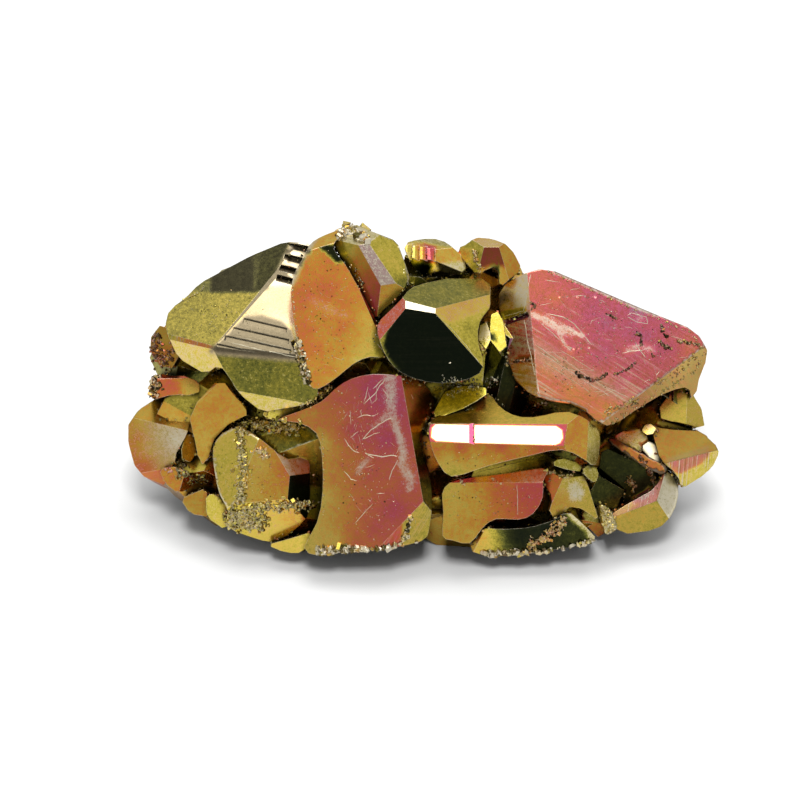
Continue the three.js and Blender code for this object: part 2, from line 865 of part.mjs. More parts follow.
// What a growth step takes off a face: a long wedge, deepest at its line.
function stepCutter({ at, faces }, { face, depth, width }, [x0, y0, x1, y1]) {
  const [right, up, distance] = faces[face];
  const normal = facing(right, up);
  const plane = planeAt(normal, new THREE.Vector3(...at), distance);
  const onFace = (x, y) => {
    const z = (plane.distance - normal.x * x - normal.y * y) / normal.z;
    return new THREE.Vector3(x, y, z);
  };
  const start = onFace(x0, y0);
  const end = onFace(x1, y1);
  const along = end.clone().sub(start).normalize();
  const rightwards = new THREE.Vector3().crossVectors(along, normal);
  const shallow = start.clone().addScaledVector(rightwards, width);
  const deep = start.clone().addScaledVector(normal, -depth);
  const climb = shallow.clone().sub(deep).normalize();
  const floor = new THREE.Vector3().crossVectors(along, climb);
  return solidOf(
    blockInside([
      planeAt(floor, deep, 0),
      planeAt(normal, start, depth),
      planeAt(rightwards.clone().negate(), start, 0),
      planeAt(rightwards, shallow, 0),
      planeAt(along.clone().negate(), start, 0),
      planeAt(along, end, 0),
    ]),
  );
}

function frontCrystal(shape) {
  const behind = reachOf(shape) > rearFrom ? rearPlanes(shape) : [];
  const cutters = growthSteps
    .filter((steps) => steps.crystal === shape.name)
    .flatMap((steps) => steps.lines.map((line) => stepCutter(shape, steps, line)));
  return cutters.reduce((solid, cutter) => solid.subtract(cutter), crystal(shape, behind));
}

function crustLumps({ along, lumps, spread }) {
  const line = new THREE.CatmullRomCurve3(along.map((p) => new THREE.Vector3(...p)));
  const solids = [];
  for (let i = 0; i < lumps; i++) {
    const lump = new THREE.OctahedronGeometry(random(...lumpRadius), 0);
    const spot = line.getPointAt((i + random()) / lumps);
    lump.rotateX(random(0, 6));
    lump.rotateY(random(0, 6));
    lump.translate(
      spot.x + random(-spread, spread),
      spot.y + random(-spread, spread),
      spot.z + random(-spread, spread) / 2,
    );
    solids.push(solidOf(lump));
  }
  return solids;
}

// A blunt many-sided lump that fills an egg shape.
function rockyLump({ at, radii }) {
  const middle = new THREE.Vector3(...at);
  const size = new THREE.Vector3(...radii);
  const planes = [];
  const goldenTurn = 137.5;
  for (let i = 0; i < lumpSides; i++) {
    const height = THREE.MathUtils.radToDeg(Math.asin(1 - (2 * i + 1) / lumpSides));
    const normal = heading(i * goldenTurn + random(-lumpSideShift, lumpSideShift), height);
    const reach = normal.clone().multiply(size).length();
    planes.push(planeAt(normal, middle, reach * random(...lumpSideGrowth)));
  }
  return solidOf(blockInside(planes));
}

// A crystal of the back: an uneven outline, one wide face and others that slope away from it.
function backCrystal({ at, turn, tilt, size }) {
  const outline = [];
  for (let i = 0; i < habit.corners; i++) {
    const shift = random(-habit.cornerShift, habit.cornerShift);
    const angle = (2 * Math.PI * (i + shift)) / habit.corners;
    const reach = size * random(...habit.cornerReach);
    outline.push([reach * Math.cos(angle), reach * habit.height * Math.sin(angle)]);
  }
  const tip = () => random(-habit.mainFaceLean, habit.mainFaceLean);
  const faces = [[tip(), tip(), size * random(...habit.mainFaceGrowth)]];
  const firstSide = random(0, 360);
  for (let i = 0; i < habit.sideFaces; i++) {
    const shift = random(-habit.sideFaceShift, habit.sideFaceShift);
    const angle = THREE.MathUtils.degToRad(firstSide + (360 * i) / habit.sideFaces + shift);
    const lean = random(...habit.sideFaceLean);
    const growth = size * random(...habit.sideFaceGrowth);
    faces.push([lean * Math.cos(angle), lean * Math.sin(angle), growth]);
  }
  const shape = { at: [0, 0, 0], faces, outline, rounding: size * habit.rounding };
  const grown = geometryOf(crystal(shape));
  const outwards = heading(turn, tilt);
  const across = new THREE.Vector3(0, 0, 1).cross(outwards).normalize();
  const upwards = new THREE.Vector3().crossVectors(outwards, across);
  const place = new THREE.Matrix4().makeBasis(across, upwards, outwards);
  grown.applyMatrix4(place.setPosition(...at));
  return solidOf(grown);
}

function footSolid() {
  const middle = new THREE.Vector3(...foot.at);
  const sides = foot.sides.map(([turn, lean, reach]) => {
    const edge = middle.clone().addScaledVector(heading(turn, 0), reach);
    return planeAt(heading(turn, lean), edge, 0);
  });
  const [above, below] = [heading(0, 90), heading(0, -90)];
  return solidOf(
    blockInside([...sides, planeAt(above, middle, foot.top), planeAt(below, middle, foot.top)]),
  );
}

function standUp(solid) {
  const geometry = geometryOf(solid);
  geometry.rotateX(THREE.MathUtils.degToRad(frontTilt));
  geometry.translate(0, 0, frontHeight);
  return solidOf(geometry);
}

const front = wasm.Manifold.union([
  ...frontCores.map(rockyLump),
  ...frontCrystals.map(frontCrystal),
  ...crusts.flatMap(crustLumps),
]);
const grown = wasm.Manifold.union([
  standUp(front),
  rockyLump(backCore),
  ...backCrystals.map(backCrystal),
  footSolid(),
]);
const ground = new THREE.BoxGeometry(groundBlock.width, groundBlock.width, groundBlock.thickness);
ground.translate(0, 0, -groundBlock.thickness / 2);

const clusterGeometry = geometryOf(grown.subtract(solidOf(ground)));
clusterGeometry.computeBoundingBox();
const { min, max } = clusterGeometry.boundingBox;
clusterGeometry.translate(-(min.x + max.x) / 2, -(min.y + max.y) / 2, -min.z);

const crystalCluster = new THREE.Mesh(
  clusterGeometry,
  new THREE.MeshStandardMaterial({
    color: material.colour,
    roughness: material.roughness,
    metalness: material.metalness,
  }),
);
crystalCluster.name = "crystal_cluster";

const group = new THREE.Group();
group.add(crystalCluster);
export default group;
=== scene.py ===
import math
import random

import bmesh
import bpy
import numpy as np
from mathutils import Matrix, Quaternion, Vector
from mathutils.bvhtree import BVHTree


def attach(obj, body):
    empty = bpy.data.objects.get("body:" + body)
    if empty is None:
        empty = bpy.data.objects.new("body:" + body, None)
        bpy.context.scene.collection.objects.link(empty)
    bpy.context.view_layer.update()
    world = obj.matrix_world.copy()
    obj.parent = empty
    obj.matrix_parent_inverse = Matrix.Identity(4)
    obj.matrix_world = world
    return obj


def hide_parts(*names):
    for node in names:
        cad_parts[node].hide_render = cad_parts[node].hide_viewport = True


print("loading the frame")
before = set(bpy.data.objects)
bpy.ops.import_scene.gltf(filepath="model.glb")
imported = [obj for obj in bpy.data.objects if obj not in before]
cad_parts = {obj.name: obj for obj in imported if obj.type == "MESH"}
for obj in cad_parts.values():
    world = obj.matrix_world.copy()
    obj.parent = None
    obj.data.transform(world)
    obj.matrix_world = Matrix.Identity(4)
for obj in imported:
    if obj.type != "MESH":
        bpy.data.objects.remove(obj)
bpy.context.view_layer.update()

mm = 0.001
# keeps a division by nothing from failing
tiny = 1e-9
rng = random.Random(7)

# camera
cameraSet = {
    "lookAt": (-2.1917 * mm, -1.5096 * mm, 13 * mm),
    "distance": 400 * mm,
    "downBy": 30,
    "lens": 180,
    "sensor": 36,
    "picture": 800,
    "clip": (.01, 10),
}

lookAt = Vector(cameraSet["lookAt"])
downBy = math.radians(cameraSet["downBy"])
eyeRight = Vector((1, 0, 0))
eyeUp = Vector((0, math.sin(downBy), math.cos(downBy)))
eyeOut = Vector((0, -math.cos(downBy), math.sin(downBy)))
eye = lookAt + eyeOut * cameraSet["distance"]
focal = cameraSet["lens"] / cameraSet["sensor"] * cameraSet["picture"]
middle = cameraSet["picture"] / 2

bpy.ops.object.select_all(action="DESELECT")
bpy.ops.object.camera_add(location=eye, rotation=(math.pi / 2 - downBy, 0, 0))
camera = bpy.context.object
camera.data.lens = cameraSet["lens"]
camera.data.sensor_width = cameraSet["sensor"]
camera.data.clip_start, camera.data.clip_end = cameraSet["clip"]
bpy.context.scene.camera = camera


def sightLine(across, down):
    return (eyeRight * (across - middle) / focal + eyeUp * (middle - down) / focal - eyeOut).normalized()


def onPicture(points):
    # where each point shows in the picture, and how far it is from the eye
    away = points - np.array(eye)
    depth = -(away @ np.array(eyeOut))
    return (
        middle + focal * (away @ np.array(eyeRight)) / depth,
        middle - focal * (away @ np.array(eyeUp)) / depth,
        depth,
    )


def between(first, second, share):
    # the place at a share of the way from one place in the picture to another
    return tuple(start + (end - start) * share for start, end in zip(first[:2], second[:2]))


# crystal skin
skinSet = {
    "weld": 0.002 * mm,
    "flatWithin": 0.4,
    "sliver": 0.006 * mm,
    # the edge lengths wanted, and how many times longer an edge may be
    "frontEdge": 0.475 * mm,
    "fineEdge": 0.17 * mm,
    "rearEdge": 0.9 * mm,
    "slack": 1.35,
    # the front starts this high over the paper
    "frontFrom": 1 * mm,
    "rounds": 9,
    # picture areas with small drawing: left, top, right, bottom
    "fineAreas": {
        "summit upper": (205, 262, 275, 300),
        "summit shine": (216, 314, 302, 360),
        "peak": (355, 240, 405, 292),
        "bud steps": (405, 240, 440, 262),
        "slab ridge": (384, 374, 404, 482),
        "plate scuff": (530, 296, 600, 350),
        "plate left": (500, 268, 534, 365),
        "bar shine": (425, 418, 572, 452),
    },
}


def editOn(thing):
    bpy.ops.object.select_all(action="DESELECT")
    bpy.context.view_layer.objects.active = thing
    thing.select_set(True)
    bpy.ops.object.mode_set(mode="EDIT")
    bpy.ops.mesh.select_all(action="SELECT")


# back to object mode, which also writes the edits to the mesh
def editOff():
    bpy.ops.object.mode_set(mode="OBJECT")


print("crystal skin")
bpy.ops.object.select_all(action="DESELECT")
skin = bpy.data.objects.new("crystals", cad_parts["crystal_cluster"].data.copy())
bpy.context.scene.collection.objects.link(skin)
skin.data.materials.clear()
bpy.context.view_layer.objects.active = skin
skin.select_set(True)
bpy.ops.mesh.customdata_custom_splitnormals_clear()
editOn(skin)
bpy.ops.mesh.select_mode(type="EDGE")
bpy.ops.mesh.remove_doubles(threshold=skinSet["weld"])
bpy.ops.mesh.dissolve_limited(angle_limit=math.radians(skinSet["flatWithin"]))
work = bmesh.from_edit_mesh(skin.data)
facetLayer = work.faces.layers.int.new("facet")
for face in work.faces:
    face[facetLayer] = -1
facets = []
flatCos = math.cos(math.radians(skinSet["flatWithin"]))
for face in work.faces:
    if face[facetLayer] >= 0:
        continue
    waiting = [face]
    face[facetLayer] = len(facets)
    while waiting:
        one = waiting.pop()
        for edge in one.edges:
            for other in edge.link_faces:
                if other[facetLayer] < 0 and other.normal.dot(one.normal) > flatCos:
                    other[facetLayer] = len(facets)
                    waiting.append(other)
    facets.append({"normal": face.normal.copy()})
print("facets", len(facets))


def towardEye(point, normal):
    return normal.dot(eye - point) > 0


def allTowardEye(spots, normals):
    # the same for arrays
    return ((np.array(eye) - spots) * normals).sum(1) > 0


def meshArrays(data):
    spots = np.zeros(len(data.vertices) * 3)
    data.vertices.foreach_get("co", spots)
    ends = np.zeros(len(data.edges) * 2, int)
    data.edges.foreach_get("vertices", ends)
    rings = np.zeros(len(data.loops), int)
    data.loops.foreach_get("vertex_index", rings)
    normals = np.zeros(len(data.polygons) * 3)
    data.polygons.foreach_get("normal", normals)
    return spots.reshape(-1, 3), ends.reshape(-1, 2), rings.reshape(-1, 3), normals.reshape(-1, 3)


bpy.ops.mesh.quads_convert_to_tris(quad_method="BEAUTY", ngon_method="BEAUTY")
bpy.ops.mesh.dissolve_degenerate(threshold=skinSet["sliver"])
bpy.ops.mesh.quads_convert_to_tris(quad_method="BEAUTY", ngon_method="BEAUTY")
for turn in range(skinSet["rounds"]):
    bpy.ops.mesh.select_all(action="DESELECT")
    editOff()
    spots, ends, rings, normals = meshArrays(skin.data)
    onFront = np.zeros(len(spots), bool)
    onFront[rings[allTowardEye(spots[rings[:, 0]], normals)].ravel()] = True
    spans = np.linalg.norm(spots[ends[:, 0]] - spots[ends[:, 1]], axis=1)
    mids = spots[ends].mean(1)
    across, down, depth = onPicture(mids)
    wanted = np.full(len(ends), skinSet["rearEdge"])
    front = onFront[ends].all(1) & (mids[:, 2] > skinSet["frontFrom"])
    wanted[front] = skinSet["frontEdge"]
    for left, top, right, low in skinSet["fineAreas"].values():
        inArea = (across > left) & (across < right) & (down > top) & (down < low)
        wanted[front & inArea] = skinSet["fineEdge"]
    tooLong = spans > wanted * skinSet["slack"]
    if not tooLong.any():
        break
    skin.data.edges.foreach_set("select", tooLong)
    bpy.ops.object.mode_set(mode="EDIT")
    bpy.ops.mesh.subdivide(number_cuts=1)
    bpy.ops.mesh.select_all(action="SELECT")
    bpy.ops.mesh.quads_convert_to_tris(quad_method="SHORTEST_DIAGONAL", ngon_method="BEAUTY")
editOff()
editOn(skin)
bpy.ops.mesh.dissolve_degenerate(threshold=skinSet["sliver"])
bpy.ops.mesh.quads_convert_to_tris(quad_method="SHORTEST_DIAGONAL", ngon_method="BEAUTY")
editOff()
print("skin triangles", len(skin.data.polygons))

# what is known of each point, face and corner of the skin
mesh = skin.data
corners = len(mesh.loops)
points, ends, rings, faceNormals = meshArrays(mesh)
cornerPoint = rings.ravel()
faceFacet = np.zeros(len(mesh.polygons), int)
mesh.attributes["facet"].data.foreach_get("value", faceFacet)
cornerFacet = np.repeat(faceFacet, 3)
pointAcross, pointDown, pointDepth = onPicture(points)
cornerAcross = pointAcross[cornerPoint]
cornerDown = pointDown[cornerPoint]
cornerDepth = pointDepth[cornerPoint]
cornerFront = np.repeat(allTowardEye(points[rings[:, 0]], faceNormals), 3)
order = np.argsort(cornerFacet, kind="stable")
starts = np.searchsorted(cornerFacet[order], np.arange(len(facets) + 1))
tree = BVHTree.FromPolygons([tuple(p) for p in points], [tuple(f.vertices) for f in mesh.polygons])


def seen(across, down):
    # the place, direction and facet that the picture shows there
    spot, normal, index, distance = tree.ray_cast(eye, sightLine(across, down))
    return (spot, normal, int(faceFacet[index])) if spot else None


def cornersOf(facet):
    return order[starts[facet]:starts[facet + 1]]


# tarnish, with some painted highlights and shade
# Rows: place in the picture (across, down), the film's value there, and its tone:
# above 0 is worn pale, below 0 is dull and dark. On a few faces a high tone is a painted highlight.
filmAt = {
    "summit west": ((175, 318, .33, -.18), (190, 325, .35, -.2), (215, 305, .38, -.2),
        (240, 312, .37, -.2), (254, 297, .4, -.2), (205, 296, .31, -.2), (172, 335, .31, -.05)),
    "summit shine": ((262, 295, .46, -.2), (280, 300, .46, -.3), (255, 310, .47, -.36),
        (285, 312, .46, -.24), (262, 323, .14, -.05), (240, 332, .13, -.05), (280, 333, .13, -.05),
        (292, 330, .46, .8), (250, 341, .12, -.05), (285, 343, .11, -.05), (240, 347, .12, 0),
        (290, 351, .1, -.05)),
    "summit rest": ((230, 380, .24, 0), (262, 372, .22, 0), (300, 362, .24, 0), (290, 385, .25, 0),
        (250, 400, .42, .25), (290, 405, .42, .3), (180, 338, .6, .1), (200, 345, .58, .1),
        (190, 353, .44, .3), (205, 362, .43, .25)),
    "amber": ((315, 258, .55, -.06), (305, 275, .57, -.06), (306, 292, .63, -.1), (330, 292, .61, -.06),
        (340, 275, .56, -.06), (345, 300, .58, 0), (318, 320, .57, -.06), (345, 325, .59, -.04),
        (352, 340, .53, -.04), (335, 345, .56, -.06), (364, 345, .47, 0), (310, 350, .58, 0),
        (322, 375, .54, 0), (345, 358, .48, 0), (300, 330, .62, 0), (330, 385, .5, 0),
        (366, 320, .5, 0), (358, 300, .54, 0), (330, 235, .5, 0)),
    "peak": ((346, 252, .36, -.1), (356, 262, .56, -.25), (366, 282, .62, -.3), (374, 300, .68, -.42),
        (376, 314, .7, -.55), (378, 268, .97, .15), (368, 252, .97, .25), (385, 282, .98, .1),
        (390, 252, .4, .05), (398, 268, .42, 0), (405, 285, .2, -.3), (392, 296, .5, 0),
        (388, 308, .44, 0), (355, 234, .4, .5)),
    "bud": ((425, 243, .3, .35), (424, 268, .02, -.9), (448, 255, .5, .05), (458, 262, .38, .15)),
    "knob": ((492, 257, .66, -.65), (510, 256, .52, -.05), (480, 262, .34, 0), (494, 240, .5, .2)),
    "mirror": ((430, 340, 0, -.6), (410, 370, 0, -.6), (400, 340, 0, -.6), (455, 360, 0, -.6),
        # (420, 306) paints the white bevel pale as a highlight
        (425, 320, 0, -.6), (392, 312, .68, .2), (420, 306, .46, .8), (440, 288, .24, .05),
        (470, 285, .26, .05), (470, 325, .34, 0), (484, 345, .38, .1), (460, 310, .44, .1),
        (380, 350, .3, 0)),
    # the first row paints the left glint's highlight pale
    "glints": ((485, 335, .46, .6), (498, 328, .4, .1), (495, 360, .16, -.1), (492, 380, .02, -.5),
        (555, 406, .2, -.1)),
    "plate": ((535, 285, .69, -.16), (552, 300, .67, -.16), (572, 290, .74, -.2), (590, 312, .8, -.2),
        (612, 322, .81, -.2), (640, 335, .82, -.2), (600, 350, .8, -.2), (572, 345, .74, -.12),
        (552, 372, .65, -.05), (570, 392, .6, -.12), (592, 408, .62, -.12), (622, 385, .75, -.15),
        (645, 375, .75, -.2), (665, 350, .78, -.2), (690, 345, .7, -.12), (680, 365, .57, -.05),
        (600, 300, .78, -.2), (640, 308, .86, -.1), (516, 290, .48, .4), (504, 290, .48, .3),
        (518, 335, .86, .34), (512, 350, .86, .34), (528, 385, .56, .36), (522, 370, .54, .36),
        (660, 385, .5, -.45), (640, 400, .58, -.45), (612, 413, .54, -.1), (690, 362, .46, -.38),
        (700, 372, .5, -.42)),
    # the first three rows paint the bar's bright strip pale as a highlight
    "bar": ((434, 434, .46, .9), (450, 434, .46, .9), (520, 434, .46, .9), (450, 396, .34, -.1),
        (470, 390, .34, -.1), (478, 391, .36, 0), (500, 418, .42, -.12), (545, 418, .46, -.1),
        (460, 447, .66, 0), (500, 446, .68, 0), (540, 447, .64, 0), (438, 448, .58, 0),
        (445, 460, .46, 0), (455, 472, .36, 0), (475, 462, .48, 0), (500, 458, .48, 0),
        (520, 452, .56, 0), (490, 466, .38, 0), (572, 440, .54, .05), (592, 445, .38, .2)),
    "slab": ((312, 412, .56, 0), (335, 420, .62, 0), (345, 400, .66, 0), (372, 392, .82, 0),
        (392, 400, .82, .1), (355, 430, .74, 0), (385, 440, .8, .05), (322, 442, .44, 0),
        (322, 470, .43, 0), (323, 500, .43, 0), (317, 530, .44, 0), (312, 546, .42, 0),
        (334, 470, .5, 0), (332, 505, .49, 0), (345, 470, .6, 0), (342, 510, .56, 0), (372, 475, .7, 0),
        (402, 470, .68, .1), (365, 505, .66, 0), (392, 510, .76, 0), (375, 530, .72, 0),
        (335, 540, .48, 0), (360, 545, .62, 0), (415, 400, .58, -.15), (430, 440, .26, -.35),
        (424, 480, .24, -.35), (412, 530, .42, -.42)),
    "brick": ((450, 495, .44, -.05), (470, 500, .49, 0), (500, 495, .6, 0), (530, 490, .7, 0),
        (536, 505, .7, 0), (470, 530, .5, 0), (500, 479, .58, .3), (530, 472, .66, .4),
        (462, 482, .54, .2), (553, 495, .6, -.2)),
    "wedge": ((575, 485, .42, .2), (562, 500, .52, .1), (590, 500, .42, 0), (556, 474, .36, .3),
        (592, 475, .34, .2)),
    "toe": ((520, 535, 0, -.5), (550, 530, 0, -.5), (482, 540, .5, 0), (570, 535, .1, -.3)),
    "moat": ((224, 450, .42, .05), (230, 490, .42, .05), (256, 465, .47, .08), (275, 480, .54, .04),
        (284, 470, .6, .1), (260, 495, .46, 0), (240, 520, .38, 0), (270, 525, .46, .1),
        (290, 515, .5, .1), (298, 495, .02, -.6), (314, 470, .3, -.3), (288, 452, .46, -.35),
        (300, 440, .24, -.35), (262, 412, .3, -.1), (300, 466, .52, .5)),
    "left": ((158, 350, .56, -.4), (165, 340, .5, -.4), (185, 369, .2, -.15), (150, 392, .58, -.2),
        (138, 420, .5, .1), (138, 440, .58, .15), (150, 448, .52, .18), (160, 436, .46, .3),
        (176, 440, .5, .7), (146, 468, .64, .05), (166, 466, .5, .1), (145, 410, .5, -.6),
        (165, 402, .5, -.05), (180, 425, .5, -.6), (170, 385, .68, 0), (190, 384, .4, 0),
        (190, 415, .34, 0), (215, 400, .52, 0), (210, 440, .5, 0), (190, 450, .36, 0),
        (170, 478, .54, 0), (195, 500, .5, 0), (220, 515, .4, .1)),
    # the rows at (648, 424) and (650, 450) paint white highlights pale
    "right": ((690, 405, .44, .1), (665, 410, .42, 0), (640, 430, .44, .1), (680, 440, .53, -.86),
        (700, 440, .5, -.86), (650, 450, .46, .7), (648, 424, .46, .6), (690, 462, .4, .1),
        (710, 462, .4, .2), (645, 460, .58, -.8), (625, 478, .08, -.3), (650, 496, .78, -.1),
        (622, 511, .56, -.1), (640, 515, .44, -.46), (665, 490, .34, .7), (610, 520, .38, .4),
        (600, 450, .4, 0)),
}
filmSet = {
    # how the film of a named place spreads over its face
    "soften": .8 * mm,
    "falloff": 2.6,
    # a face with no named place takes the nearest one's film, give or take this, and a share of its tone
    "wander": .04,
    "toneShare": .5,
    # growth lines where no row gives them: spacing, strength, and the slope below which they run sideways
    "lineSpacing": .5 * mm,
    "lines": .02,
    "level": .05,
}
rearSet = {
    "films": (.2, .28, .33, .38, .44, .48, .52, .56, .6, .66, .72, .8),
    "filmLimits": (.04, .96),
    "tones": (-.2, .15),
    "lines": (.02, .05, .3, .8),
    # face area in square mm, and how fast the film changes over a face per mm
    "large": 7,
    "drift": .012,
}

print("tarnishAndPaintedLight")
places, values = [], []
held = {}
for name, rows in filmAt.items():
    for across, down, film, tone in rows:
        hit = seen(across, down)
        if not hit:
            print("nothing at", name, across, down)
            continue
        held.setdefault(hit[2], []).append(len(places))
        places.append(tuple(hit[0]))
        values.append((film, tone))
places = np.array(places)
values = np.array(values)

cornerFilm = np.zeros(corners)
cornerTone = np.zeros(corners)
cornerLines = np.full(corners, filmSet["lines"])
cornerDust = np.zeros(corners)
cornerSpot = np.zeros((corners, 2))


def layLines(mine, along, normal, spacing):
    # growth lines run along a direction on the face, this far from each other
    here = points[cornerPoint[mine]]
    cornerSpot[mine, 0] = here @ np.array(along) / mm
    cornerSpot[mine, 1] = here @ np.array(normal.cross(along)) / spacing


rearOnes = []
sides = points[rings]
faceArea = np.linalg.norm(np.cross(sides[:, 1] - sides[:, 0], sides[:, 2] - sides[:, 0]), axis=1) / 2
areaOf = np.bincount(faceFacet, faceArea, len(facets)) / mm ** 2
for number, facet in enumerate(facets):
    mine = cornersOf(number)
    if not len(mine):
        continue
    here = points[cornerPoint[mine]]
    centre = here.mean(0)
    if number in held:
        pick = held[number]
        far = np.linalg.norm(here[:, None] - places[pick][None], axis=2) + filmSet["soften"]
        weight = far ** -filmSet["falloff"]
        got = (weight[:, :, None] * values[pick][None]).sum(1) / weight.sum(1)[:, None]
        cornerFilm[mine] = got[:, 0]
        cornerTone[mine] = got[:, 1]
    elif towardEye(Vector(centre), facet["normal"]):
        film, tone = values[np.argmin(np.linalg.norm(places - centre, axis=1))]
        cornerFilm[mine] = np.clip(film + rng.uniform(-filmSet["wander"], filmSet["wander"]), 0, 1)
        cornerTone[mine] = tone * filmSet["toneShare"]
    else:
        rearOnes.append((number, Vector(centre), areaOf[number]))
    along = facet["normal"].cross(Vector((0, 0, 1)))
    along = along.normalized() if along.length > filmSet["level"] else eyeRight
    layLines(mine, along, facet["normal"], filmSet["lineSpacing"])

# Faces turned away: the large ones each have their own film, the small ones follow the nearest large one
rearOnes.sort(key=lambda one: -one[2])
leaders = []
for number, centre, area in rearOnes:
    mine = cornersOf(number)
    here = points[cornerPoint[mine]]
    if area > rearSet["large"] or not leaders:
        slant = Vector([rng.gauss(0, 1) for axis in range(3)]).normalized() * rearSet["drift"] / mm
        leader = (centre, rng.choice(rearSet["films"]), rng.uniform(*rearSet["tones"]), slant)
        leaders.append(leader)
    else:
        leader = min(leaders, key=lambda other: (other[0] - centre).length)
    leadCentre, film, tone, slant = leader
    shift = (here - np.array(leadCentre)) @ np.array(slant)
    cornerFilm[mine] = np.clip(film + shift, *rearSet["filmLimits"])
    cornerTone[mine] = tone
    if area > rearSet["large"]:
        cornerLines[mine] = rng.choice(rearSet["lines"])


def onPlane(across, down, hit):
    # where a sight line meets the plane of what was seen
    line = sightLine(across, down)
    return eye + line * ((hit[0] - eye).dot(hit[1]) / line.dot(hit[1]))


# Fine growth lines on a face: a place on it, the lines' slope in the picture (degrees, down to the right),
# their spacing in picture points, and rows of place and strength.
linesOn = {
    "summit shine": ((260, 333), 14, 2.6, ((262, 295, .1), (262, 314, .1), (262, 320, 1.9),
        (250, 335, 1.9), (285, 340, 1.9))),
    "summit bevel": ((190, 341), 100, 4, ((190, 341, .9),)),
    "peak strip": ((378, 268), 8, 2, ((378, 268, .4),)),
    "plate": ((590, 380), 32, 4, ((560, 372, 1), (600, 392, 1), (570, 398, .3), (620, 380, .7),
        (640, 335, .05), (600, 320, .05), (545, 290, .15), (548, 345, .9), (585, 360, .7))),
    "plate left": ((518, 335), 12, 3, ((518, 335, .5), (528, 385, .8), (516, 290, .1))),
    "plate end": ((660, 385), 60, 8, ((660, 385, .55),)),
    "slab heel": ((415, 525), 120, 3, ((415, 525, .6),)),
    "right keel": ((690, 462), 95, 2.4, ((680, 462, 2), (700, 455, 2), (705, 475, .1))),
    "prow rim": ((640, 500), 100, 3, ((640, 500, 1),)),
}
# how the strength of a row fades over the face, and the size of a picture point where the camera looks
lineFade = {"soften": 2, "falloff": 2.5}
pointSize = cameraSet["distance"] / focal
for name, (place, slope, spacing, rows) in linesOn.items():
    hit = seen(*place)
    if not hit:
        print("no face for lines", name)
        continue
    turn = math.radians(slope)
    ahead = onPlane(place[0] + math.cos(turn), place[1] + math.sin(turn), hit)
    along = (ahead - onPlane(*place, hit)).normalized()
    mine = cornersOf(hit[2])
    layLines(mine, along, hit[1], spacing * pointSize)
    rowAcross, rowDown, strength = np.array(rows).T[:, :, None]
    far = np.hypot(cornerAcross[mine] - rowAcross, cornerDown[mine] - rowDown)
    weight = (far + lineFade["soften"]) ** -lineFade["falloff"]
    cornerLines[mine] = (weight * strength).sum(0) / weight.sum(0)


def fromLine(across, down, first, second):
    # how far each place is from the line between two others
    runAcross = second[0] - first[0]
    runDown = second[1] - first[1]
    share = (across - first[0]) * runAcross + (down - first[1]) * runDown
    share = np.clip(share / (runAcross ** 2 + runDown ** 2 + tiny), 0, 1)
    return np.hypot(across - first[0] - share * runAcross, down - first[1] - share * runDown)


def insideOutline(across, down, outline):
    # how far inside a closed outline each place is, in picture points (below 0 outside)
    inside = np.zeros(len(across), bool)
    near = np.full(len(across), np.inf)
    for first, second in zip(outline, outline[1:] + outline[:1]):
        level = (first[1] > down) != (second[1] > down)
        slope = (second[0] - first[0]) / (second[1] - first[1] + tiny)
        inside ^= level & (across < first[0] + slope * (down - first[1]))
        near = np.minimum(near, fromLine(across, down, first, second))
    return np.where(inside, near, -near)


